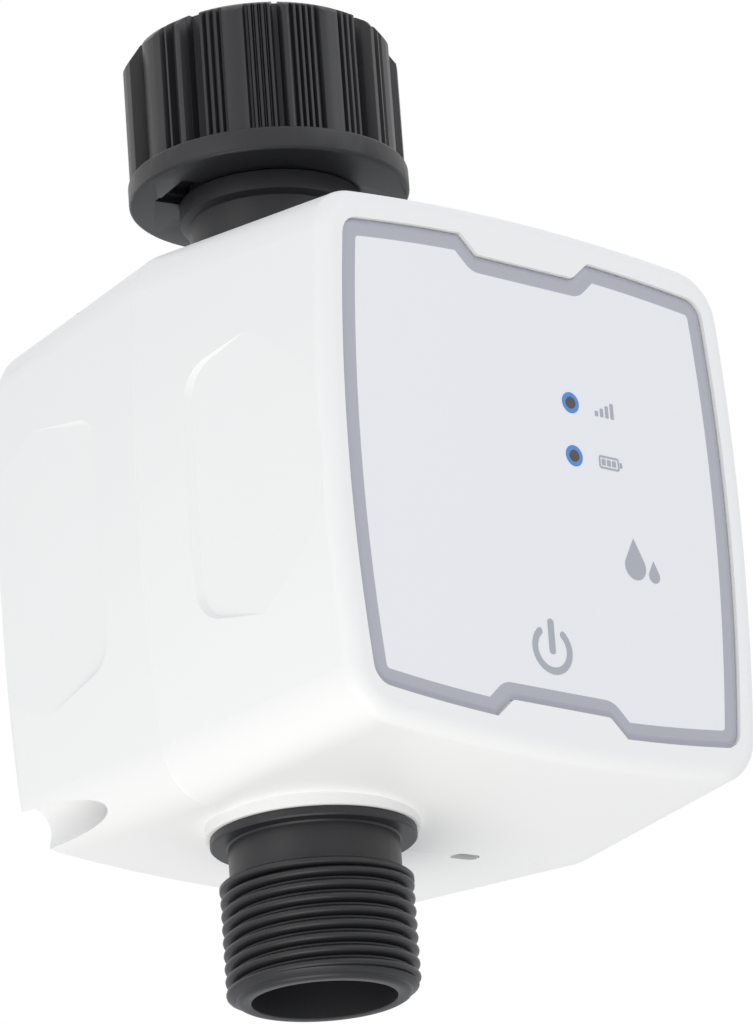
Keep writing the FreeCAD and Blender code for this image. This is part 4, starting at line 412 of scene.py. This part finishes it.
def helical_ridge(name, crest, root, first, start, turns, limits, fades, steps=64):
    """A thread ridge from an angle and a height, standing out of a cylinder or into a bore.

    It is kept between two heights, and fades in and out over two angles in degrees.
    """
    out = 1 if crest > root else -1
    # The profile from foot to foot, as radius and height; both feet lie under the root.
    profile = [(root - 0.5 * out, -0.86), (root, -0.8), (crest - 0.2 * out, -0.36),
               (crest - 0.05 * out, -0.2), (crest, 0.0), (crest - 0.05 * out, 0.2),
               (crest - 0.2 * out, 0.36), (root, 0.8), (root - 0.5 * out, 0.86)]
    along, across = math.cos(math.radians(first)), math.sin(math.radians(first))
    points = [spot(r * along, r * across, start + z) for r, z in profile]
    ridge = draw_line(name, points)
    bpy.ops.mesh.edge_face_add()
    bpy.ops.mesh.delete(type="ONLY_FACE")
    settle(ridge)
    whole = round(steps * turns)
    apply_modifier(ridge, "SCREW", axis="Z", angle=2 * math.pi * turns, iterations=1,
                   screw_offset=PITCH * turns * MM, steps=whole, render_steps=whole)
    for vertex in ridge.data.vertices:
        height = vertex.co.z / MM + MOUTH
        reach = math.hypot(vertex.co.x, vertex.co.y) / MM
        angle = math.degrees(math.atan2(vertex.co.y, vertex.co.x)) - first
        # The height tells how many turns this point has climbed, the direction the exact angle.
        climb = (height - start) / PITCH * 360.0
        climb = angle + 360.0 * round((climb - angle) / 360.0)
        share = min(climb / fades[0], (turns * 360.0 - climb) / fades[1], 1.0)
        low = root - SUNK * out
        if share < 1.0 and (reach - low) * out > 0:
            keep = low + (reach - low) * max(0.0, share)
            vertex.co.x *= keep / reach
            vertex.co.y *= keep / reach
        vertex.co.z = (min(max(height, limits[0]), limits[1]) - MOUTH) * MM
    close_up(ridge, 35)
    print(name, "turns", round(turns, 2), "triangles", triangles(ridge))
    return ridge


# The ridge starts just above the plain end; its crest stays 0.02 mm inside the solid part's.
spout_thread = helical_ridge("spout_thread", CREST - 0.02, ROOT, 60.0, -60.97, 8.25,
                             (-61.6, -45.85), (60.0, 1.0))

# %% Join the spout and put it in its place
join(spout, spout_end, spout_thread)
wear(black_nylon, spout)
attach(spout, "housing")
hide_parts("outlet_fitting")
print("spout:", triangles(spout), "triangles")

# %% [markdown]
# ## The nut
# The nut is moulded in the same nylon. Its bore is opened to the root of the thread, and the
# tap's thread is swept into it. A mould never leaves a razor edge, so a copy of the solid nut is
# given a bevel of 0.16 mm. It does not come out that wide: Blender clamps it to less than
# 0.001 mm, so the nut's edges stay sharp. With the clamp off, the bevel tears the flange's rim.

# %% Open the nut's bore, bevel the nut and add its thread
def choose(piece, test):
    """Selects the points of a piece that pass a test of radius and height, in edit mode."""
    pick(piece)
    bpy.ops.object.mode_set(mode="EDIT")
    bpy.ops.mesh.select_mode(type="VERT")
    bpy.ops.mesh.select_all(action="DESELECT")
    bpy.ops.object.mode_set(mode="OBJECT")
    for vertex in piece.data.vertices:
        place = vertex.co / MM
        vertex.select = test(math.hypot(place.x, place.y), place.z + MOUTH)
    bpy.ops.object.mode_set(mode="EDIT")


NUT_CREST, NUT_ROOT = 12.06, 13.1
BORE_FLOOR = 64.9
BEVEL_ASKED = 0.16
nut = fresh_copy("inlet_nut", "ribbed_nut")
# The points of the bore are known by their radius, to within 0.05 mm.
choose(nut, lambda reach, height: abs(reach - NUT_CREST) < 0.05 and height > BORE_FLOOR)
widen = NUT_ROOT / NUT_CREST
bpy.ops.transform.resize(value=(widen, widen, 1), center_override=(0, 0, 0))
bpy.ops.mesh.select_all(action="SELECT")
bpy.ops.mesh.dissolve_limited(angle_limit=math.radians(1.0))
bpy.ops.object.mode_set(mode="OBJECT")
apply_modifier(nut, "BEVEL", width=BEVEL_ASKED * MM, segments=2, limit_method="ANGLE",
               angle_limit=math.radians(38))
shade(nut, 32)
nut_thread = helical_ridge("nut_thread", NUT_CREST, NUT_ROOT, 0.0, 66.0, 5.6, (65.05, 76.9),
                           (50.0, 50.0))
join(nut, nut_thread)
wear(black_nylon, nut)
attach(nut, "nut")
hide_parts("inlet_nut")
print("nut:", triangles(nut), "triangles")

# %% [markdown]
# ## The screws
# The solid screws have plain heads. Those in the cover and deep in the four corner channels get
# the cross recess of a screwdriver, although the plugs below hide the upper two: two tapered
# bars for each head, taken away by the Boolean modifier.

# %% Cut cross recesses
# The width of a cutting bar at its inner end, as a share of its outer end.
TAPER = 0.5


def cut_cross(piece, place, wing, slot, depth):
    """Takes a cross recess out of a head that faces the back."""
    for width, height in ((wing, slot), (slot, wing)):
        clear_selection()
        bpy.ops.mesh.primitive_cube_add(size=MM, location=place)
        bar = bpy.context.object
        edit_all(bar)
        bpy.ops.transform.resize(value=(width, 2 * depth, height), center_override=place)
        bpy.ops.mesh.select_mode(type="FACE")
        bpy.ops.mesh.select_all(action="DESELECT")
        bpy.ops.object.mode_set(mode="OBJECT")
        # The end that goes in first faces -Y.
        for face in bar.data.polygons:
            face.select = face.normal.y < -0.9
        bpy.ops.object.mode_set(mode="EDIT")
        bpy.ops.transform.resize(value=(TAPER, 1, TAPER), center_override=place)
        bpy.ops.mesh.select_mode(type="VERT")
        settle(bar)
        apply_modifier(piece, "BOOLEAN", object=bar, operation="DIFFERENCE", solver="EXACT")
        pick(bar)
        bpy.ops.object.delete()


# The screws stand at these distances from the housing's middle, with their heads' faces this
# far behind the parting line. The last three numbers in a row are the length and the width of
# the cutting bars, and the depth of the recess.
CHANNEL_X, CHANNEL_Z, COVER_X = 33.7, 33.5, 32.0
CHANNEL_FACE, COVER_FACE = 10.0, 36.4
HEADS = {
    "housing_screws": ("housing", [
        (CENTRE_X + CHANNEL_X * side, CHANNEL_FACE, CENTRE_Z + CHANNEL_Z * up)
        for side in SIDES for up in SIDES], (4.2, 1.2, 1.4)),
    "cover_screws": ("cover", [
        (CENTRE_X + COVER_X * side, COVER_FACE, CENTRE_Z) for side in SIDES], (3.0, 0.95, 0.9)),
}
for node, (body, places, sizes) in HEADS.items():
    screws = fresh_copy(node, "cross_" + node)
    for place in places:
        cut_cross(screws, spot(*place), *sizes)
    shade(screws, 30)
    wear(zinc_steel, screws)
    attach(screws, body)
    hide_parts(node)
    print(node, "recesses", len(places), "triangles", triangles(screws))

# %% [markdown]
# ## The plugs of the upper screw channels
# The object shows a closed upper corner and an open lower one, while in the solid part all four
# screw channels break through their corners. Two plugs, flush with the skin, close the upper
# ones. That they are plugs is a guess: they would keep rain water out of a housing that hangs
# under its tap. Each is a round bar that the Boolean modifier trims to the corner's own form.

# %% Plug the upper channels
# The shell's form: the depth of its rear face, the rounding there and the radius of its bowed
# sides. Then its half width, half height and corner radius at the parting line, each with what
# it loses towards the rear.
REAR, REAR_ROUNDING, BOW = 36.5, 2.6, 315.0
HALF_WIDTH, WIDTH_LOSS = 41.0, 2.9
HALF_HEIGHT, HEIGHT_LOSS = 41.2, 3.1
CORNER, CORNER_LOSS = 8.0, 0.5
# Where the corner's outline is closed, well inside the shell.
INSIDE = 24.0
PLUG_RADIUS, PLUG_MIDDLE, PLUG_LENGTH = 3.24, 26.0, 28


def corner_line(side, station, inset):
    """The outline of an upper corner at a distance behind the parting line, closed inside."""
    share = min(station, REAR - REAR_ROUNDING) / REAR
    # The centres of the two bowed sides, then that of the round corner that touches both.
    flank = Vector((HALF_WIDTH - WIDTH_LOSS * share - BOW, 0))
    top = Vector((0, HALF_HEIGHT - HEIGHT_LOSS * share - BOW))
    bow, turn = BOW - inset, CORNER - CORNER_LOSS * share - inset
    span = top - flank
    rise = math.sqrt((bow - turn) ** 2 - span.length_squared / 4)
    sideways = Vector((span.y, -span.x)).normalized() * rise
    middle = (flank + top) / 2 + sideways
    if middle.x < 0:
        middle = (flank + top) / 2 - sideways
    low, over = [math.atan2(*(middle - centre).yx) for centre in (flank, top)]
    edge = math.asin(INSIDE / bow)
    arcs = ((flank, bow, edge, low, 2), (middle, turn, low, over, 18),
            (top, bow, over, math.pi / 2 - edge, 2))
    corners = [Vector((INSIDE, INSIDE))]
    for centre, radius, first, last, steps in arcs:
        for step in range(steps + 1):
            angle = first + (last - first) * step / steps
            corners.append(centre + radius * Vector((math.cos(angle), math.sin(angle))))
    return [spot(CENTRE_X + side * c.x, station, CENTRE_Z + c.y) for c in corners + corners[:1]]


def channel_plug(side):
    """A bar in one upper channel, cut off flush with the housing."""
    stations = [(station, 0.0) for station in (11.0, 20.0, 28.0, REAR - REAR_ROUNDING)]
    for step in range(1, 7):
        lean = math.radians(15 * step)
        stations.append((REAR - REAR_ROUNDING * (1 - math.sin(lean)),
                         REAR_ROUNDING * (1 - math.cos(lean))))
    rings = [draw_line("corner", corner_line(side, *station)) for station in stations]
    corner = join(*rings)
    edit_all(corner)
    bpy.ops.mesh.remove_doubles(threshold=DRAWN_MERGE)
    bpy.ops.mesh.select_mode(type="EDGE")
    bpy.ops.mesh.select_all(action="SELECT")
    bpy.ops.mesh.bridge_edge_loops()
    bpy.ops.mesh.select_mode(type="VERT")
    close_up(corner)
    clear_selection()
    bpy.ops.mesh.primitive_cylinder_add(
        vertices=64, radius=PLUG_RADIUS * MM, depth=PLUG_LENGTH * MM,
        rotation=(math.pi / 2, 0, 0),
        location=spot(CENTRE_X + CHANNEL_X * side, PLUG_MIDDLE, CENTRE_Z + CHANNEL_Z))
    plug = settle(bpy.context.object)
    apply_modifier(plug, "BOOLEAN", object=corner, operation="INTERSECT", solver="EXACT")
    pick(corner)
    bpy.ops.object.delete()
    return close_up(plug, 40.0)


channel_plugs = join(channel_plug(1), channel_plug(-1))
channel_plugs.name = channel_plugs.data.name = "channel_plugs"
wear(white_abs, channel_plugs)
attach(channel_plugs, "housing")
print("plugs:", triangles(channel_plugs), "triangles")

# %% [markdown]
# ## The printed panel
# The panel is a polycarbonate sheet, printed on its back in pale grey with a darker band round
# its edge, and its rim slopes down into the recess. The solid sheet's front face is inset twice:
# the first ring is the sloping rim, the second is the band, and what is left is the field.

# %% Inset the rim and the band
PANEL_Y = -36.0
RIM, BAND, SLOPE = 0.85, 1.55, 0.22

panel = fresh_copy("label_panel", "printed_panel")
edit_all(panel)
bpy.ops.mesh.dissolve_limited(angle_limit=math.radians(0.5))
bpy.ops.mesh.select_mode(type="FACE")
bpy.ops.mesh.select_all(action="DESELECT")
bpy.ops.object.mode_set(mode="OBJECT")
# The front faces look along -Y.
for face in panel.data.polygons:
    face.select = face.normal.y < -0.99
print("front faces:", sum(face.select for face in panel.data.polygons))
bpy.ops.object.mode_set(mode="EDIT")
bpy.ops.transform.translate(value=(0, SLOPE * MM, 0))
bpy.ops.mesh.inset(thickness=RIM * MM, depth=0)
bpy.ops.transform.translate(value=(0, -SLOPE * MM, 0))
bpy.ops.mesh.inset(thickness=BAND * MM, depth=0)
bpy.ops.object.mode_set(mode="OBJECT")
wear(panel_band, panel)
panel.data.materials.append(panel_face)
fields = [face for face in panel.data.polygons if face.select]
for face in fields:
    face.material_index = 1
print("field:", len(fields), "face of", round(sum(face.area for face in fields) / MM ** 2), "mm2")


# %% [markdown]
# The marks are screen-printed ink. Each is a flat outline with its corners rounded by a vertex
# bevel, hollowed by an inset where it is a ring, and extruded by the thickness of the ink. Real
# ink is about 0.02 mm thick; it is drawn at 0.04 mm so that it stays clear of the sheet.

# %% Flat prints
INK = 0.04


def raise_ink(mark):
    """Extrudes the flat mark in edit mode by the thickness of the ink, and closes it."""
    bpy.ops.mesh.select_all(action="SELECT")
    bpy.ops.mesh.extrude_region_move(TRANSFORM_OT_translate={"value": (0, -INK * MM, 0)})
    bpy.ops.mesh.select_mode(type="VERT")
    return close_up(mark)


def flat_print(name, corners, rounding=0.0, hollow=0.0):
    """A thin raised print from (x, z) corners on the panel's face."""
    mark = draw_line(name, [spot(x, PANEL_Y, z) for x, z in corners])
    bpy.ops.mesh.edge_face_add()
    if rounding:
        bpy.ops.mesh.select_all(action="SELECT")
        bpy.ops.mesh.bevel(offset=rounding * MM, segments=5, affect="VERTICES")
    bpy.ops.mesh.select_mode(type="FACE")
    bpy.ops.mesh.select_all(action="SELECT")
    if hollow:
        bpy.ops.mesh.inset(thickness=hollow * MM, depth=0)
        bpy.ops.mesh.delete(type="FACE")
    return raise_ink(mark)


def box_corners(left, low, width, height):
    """The four corners of a box, from its lower left one round."""
    return [(left, low), (left + width, low), (left + width, low + height), (left, low + height)]


def round_corners(x, z, radius, count=40):
    """Corners at even steps round a circle."""
    steps = [2 * math.pi * step / count for step in range(count)]
    return [(x + radius * math.cos(step), z + radius * math.sin(step)) for step in steps]


# %% Lamp rings and windows
LAMPS = [(20.5, 15.5), (20.4, 7.8)]
RING_RADIUS, RING_WIDTH, WINDOW_RADIUS = 1.52, 0.6, 0.88
rings = [flat_print("lamp_rings", round_corners(x, z, RING_RADIUS), hollow=RING_WIDTH)
         for x, z in LAMPS]
windows = [flat_print("lamp_windows", round_corners(x, z, WINDOW_RADIUS)) for x, z in LAMPS]
lamp_rings, lamp_windows = join(*rings), join(*windows)
wear(blue_ink, lamp_rings)
wear(smoked_window, lamp_windows)
print("lamps:", triangles(lamp_rings) + triangles(lamp_windows), "triangles")

# %% [markdown]
# The key's mark is the usual power sign. Its arc is one short edge, spun most of the way round
# the sign's centre, and a vertex bevel rounds the two ends of the stroke.

# %% The power sign
SIGN = (13.43, -20.9)
INNER, OUTER, GAP = 2.56, 3.57, 33.0
# The rounding at the ends of the stroke, and how near a point has to be to count as an end.
STROKE_ROUNDING, NEAR = 0.46, 0.00005
start = math.radians(GAP)
arc = draw_line("power_arc", [
    spot(SIGN[0] + r * math.sin(start), PANEL_Y, SIGN[1] + r * math.cos(start))
    for r in (INNER, OUTER)])
bpy.ops.mesh.spin(steps=26, angle=math.radians(360 - 2 * GAP),
                  center=spot(SIGN[0], PANEL_Y, SIGN[1]), axis=(0, -1, 0))
bpy.ops.mesh.select_mode(type="VERT")
bpy.ops.mesh.select_all(action="DESELECT")
bpy.ops.object.mode_set(mode="OBJECT")
settle(arc)
ends = [spot(SIGN[0] + r * math.sin(start * side), PANEL_Y, SIGN[1] + r * math.cos(start * side))
        for r in (INNER, OUTER) for side in SIDES]
for vertex in arc.data.vertices:
    vertex.select = any((vertex.co - end).length < NEAR for end in ends)
print("stroke ends:", sum(vertex.select for vertex in arc.data.vertices))
bpy.ops.object.mode_set(mode="EDIT")
bpy.ops.mesh.bevel(offset=STROKE_ROUNDING * MM, segments=5, affect="VERTICES")
bpy.ops.mesh.select_mode(type="FACE")
raise_ink(arc)
bar = flat_print("power_bar", box_corners(12.9, -21.6, 1.1, 5.0), rounding=0.5)

# %% [markdown]
# Beside the lamps stand two plain signs, one for reception and one for the batteries, and two
# water drops mark what the timer is for. They are simple shapes that any such panel may carry.

# %% Plain signs
signs = [flat_print("reception", box_corners(24.9 + 0.95 * step, 14.4, 0.6, 0.75 + 0.5 * step),
                    0.12) for step in range(4)]
signs.append(flat_print("battery", box_corners(24.9, 6.85, 3.7, 1.9), 0.4, 0.28))
signs.append(flat_print("battery_tip", box_corners(28.72, 7.4, 0.4, 0.8), 0.12))
signs += [flat_print("charge", box_corners(25.4 + 0.95 * step, 7.35, 0.7, 0.9), 0.1)
          for step in range(3)]


def drop_corners(x, z, radius, tip):
    """A water drop: two thirds of a circle, and two straight sides that meet in a tip."""
    reach = math.acos(radius / tip)
    spread = [reach + (2 * math.pi - 2 * reach) * step / 28 for step in range(29)]
    return [(x, z + tip)] + [(x - radius * math.sin(a), z + radius * math.cos(a)) for a in spread]


signs.append(flat_print("drop", drop_corners(30.0, -6.6, 1.9, 4.1)))
signs.append(flat_print("small_drop", drop_corners(33.4, -7.45, 1.0, 2.2)))
panel_marks = join(arc, bar, *signs)
panel_marks.name = panel_marks.data.name = "panel_marks"
wear(grey_ink, panel_marks)
for piece in (panel, panel_marks, lamp_rings, lamp_windows):
    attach(piece, "housing")
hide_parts("label_panel")
print("marks:", triangles(panel_marks), "triangles")

# %% [markdown]
# ## The floor, the light and the camera
# The photograph is a studio cut-out on white, seen from a little below and from the left. The
# camera stands at that angle with a long lens. The backdrop is white to the camera, in
# reflections and through clear parts only, so that it does not wash out the white housing.

# %% Floor and world
FLOOR_SIZE, FLOOR_DEPTH = 24.0, 1.9
clear_selection()
bpy.ops.mesh.primitive_plane_add(size=FLOOR_SIZE, location=(0, 0, -FLOOR_DEPTH))
floor = bpy.context.object
floor.name = "studio_floor"
# A dull floor, far below the object, shows no mirror image of it.
wear(finish("PaleStudioFloor", "#F0F0F0", 0.8), floor)

world = bpy.data.worlds.new("StudioWhite")
bpy.context.scene.world = world
world.use_nodes = True
sky = world.node_tree
sky.nodes.clear()
rays = add(sky, "ShaderNodeLightPath")
seen = add(sky, "ShaderNodeMath", {
    0: rays.outputs["Is Camera Ray"], 1: rays.outputs["Is Glossy Ray"]}, operation="MAXIMUM")
seen = add(sky, "ShaderNodeMath", {
    0: seen.outputs[0], 1: rays.outputs["Is Transmission Ray"]}, operation="MAXIMUM")
soft_fill = add(sky, "ShaderNodeBackground", Color=(0.95, 0.97, 1.0, 1.0), Strength=0.80)
white_wall = add(sky, "ShaderNodeBackground", Color=(1.0, 1.0, 1.0, 1.0), Strength=1.0)
choice = add(sky, "ShaderNodeMixShader", {0: seen.outputs[0], 1: soft_fill.outputs[0],
                                          2: white_wall.outputs[0]})
add(sky, "ShaderNodeOutputWorld", {"Surface": choice.outputs[0]})


# %% Lamps
def softbox(name, place, target, size, power, colour="#FFFFFF"):
    """A square studio lamp at a place, turned towards a target."""
    data = bpy.data.lights.new(name, "AREA")
    data.shape = "SQUARE"
    data.size = size
    data.energy = power
    data.color = linear(colour)[:3]
    lamp = bpy.data.objects.new(name, data)
    bpy.context.scene.collection.objects.link(lamp)
    lamp.location = place
    lamp.rotation_euler = (Vector(target) - Vector(place)).to_track_quat("-Z", "Y").to_euler()


MIDDLE = spot(10, 0, 0)
softbox("key_left", (-0.95, -0.1, 0.2), MIDDLE, 0.6, 0.7)
softbox("fill_front", (0.3, -0.8, 0.55), MIDDLE, 0.7, 1.5, "#F4F7FF")
softbox("under", (-0.25, -0.12, -0.55), MIDDLE, 0.4, 1.25, "#FFFBF4")

# %% Camera
AZIMUTH, ELEVATION, ROLL = -41.178, -19.063, -4.230
DISTANCE, SIDE, LIFT = 859.235, 11.243, 7.057
LENS, SENSOR = 219.957, 36.0
NEAREST, FARTHEST = 0.01, 20.0
azimuth, elevation, roll = [math.radians(a) for a in (AZIMUTH, ELEVATION, ROLL)]
back = Vector((math.sin(azimuth) * math.cos(elevation), -math.cos(azimuth) * math.cos(elevation),
               math.sin(elevation)))
right = (-back).cross(Vector((0, 0, 1))).normalized()
up = right.cross(-back)
turned_right = right * math.cos(roll) + up * math.sin(roll)
turned_up = up * math.cos(roll) - right * math.sin(roll)
place = turned_right * SIDE + turned_up * LIFT + back * DISTANCE
camera_data = bpy.data.cameras.new("portrait_lens")
camera_data.lens = LENS
camera_data.sensor_width = SENSOR
camera_data.clip_start = NEAREST
camera_data.clip_end = FARTHEST
camera = bpy.data.objects.new("portrait_camera", camera_data)
bpy.context.scene.collection.objects.link(camera)
matrix = Matrix((turned_right, turned_up, back)).transposed().to_4x4()
matrix.translation = spot(*place)
camera.matrix_world = matrix
bpy.context.scene.camera = camera
bpy.context.scene.view_settings.view_transform = "Standard"
print("camera at", [round(v, 4) for v in matrix.translation])

# %% The end, with nothing selected
clear_selection()
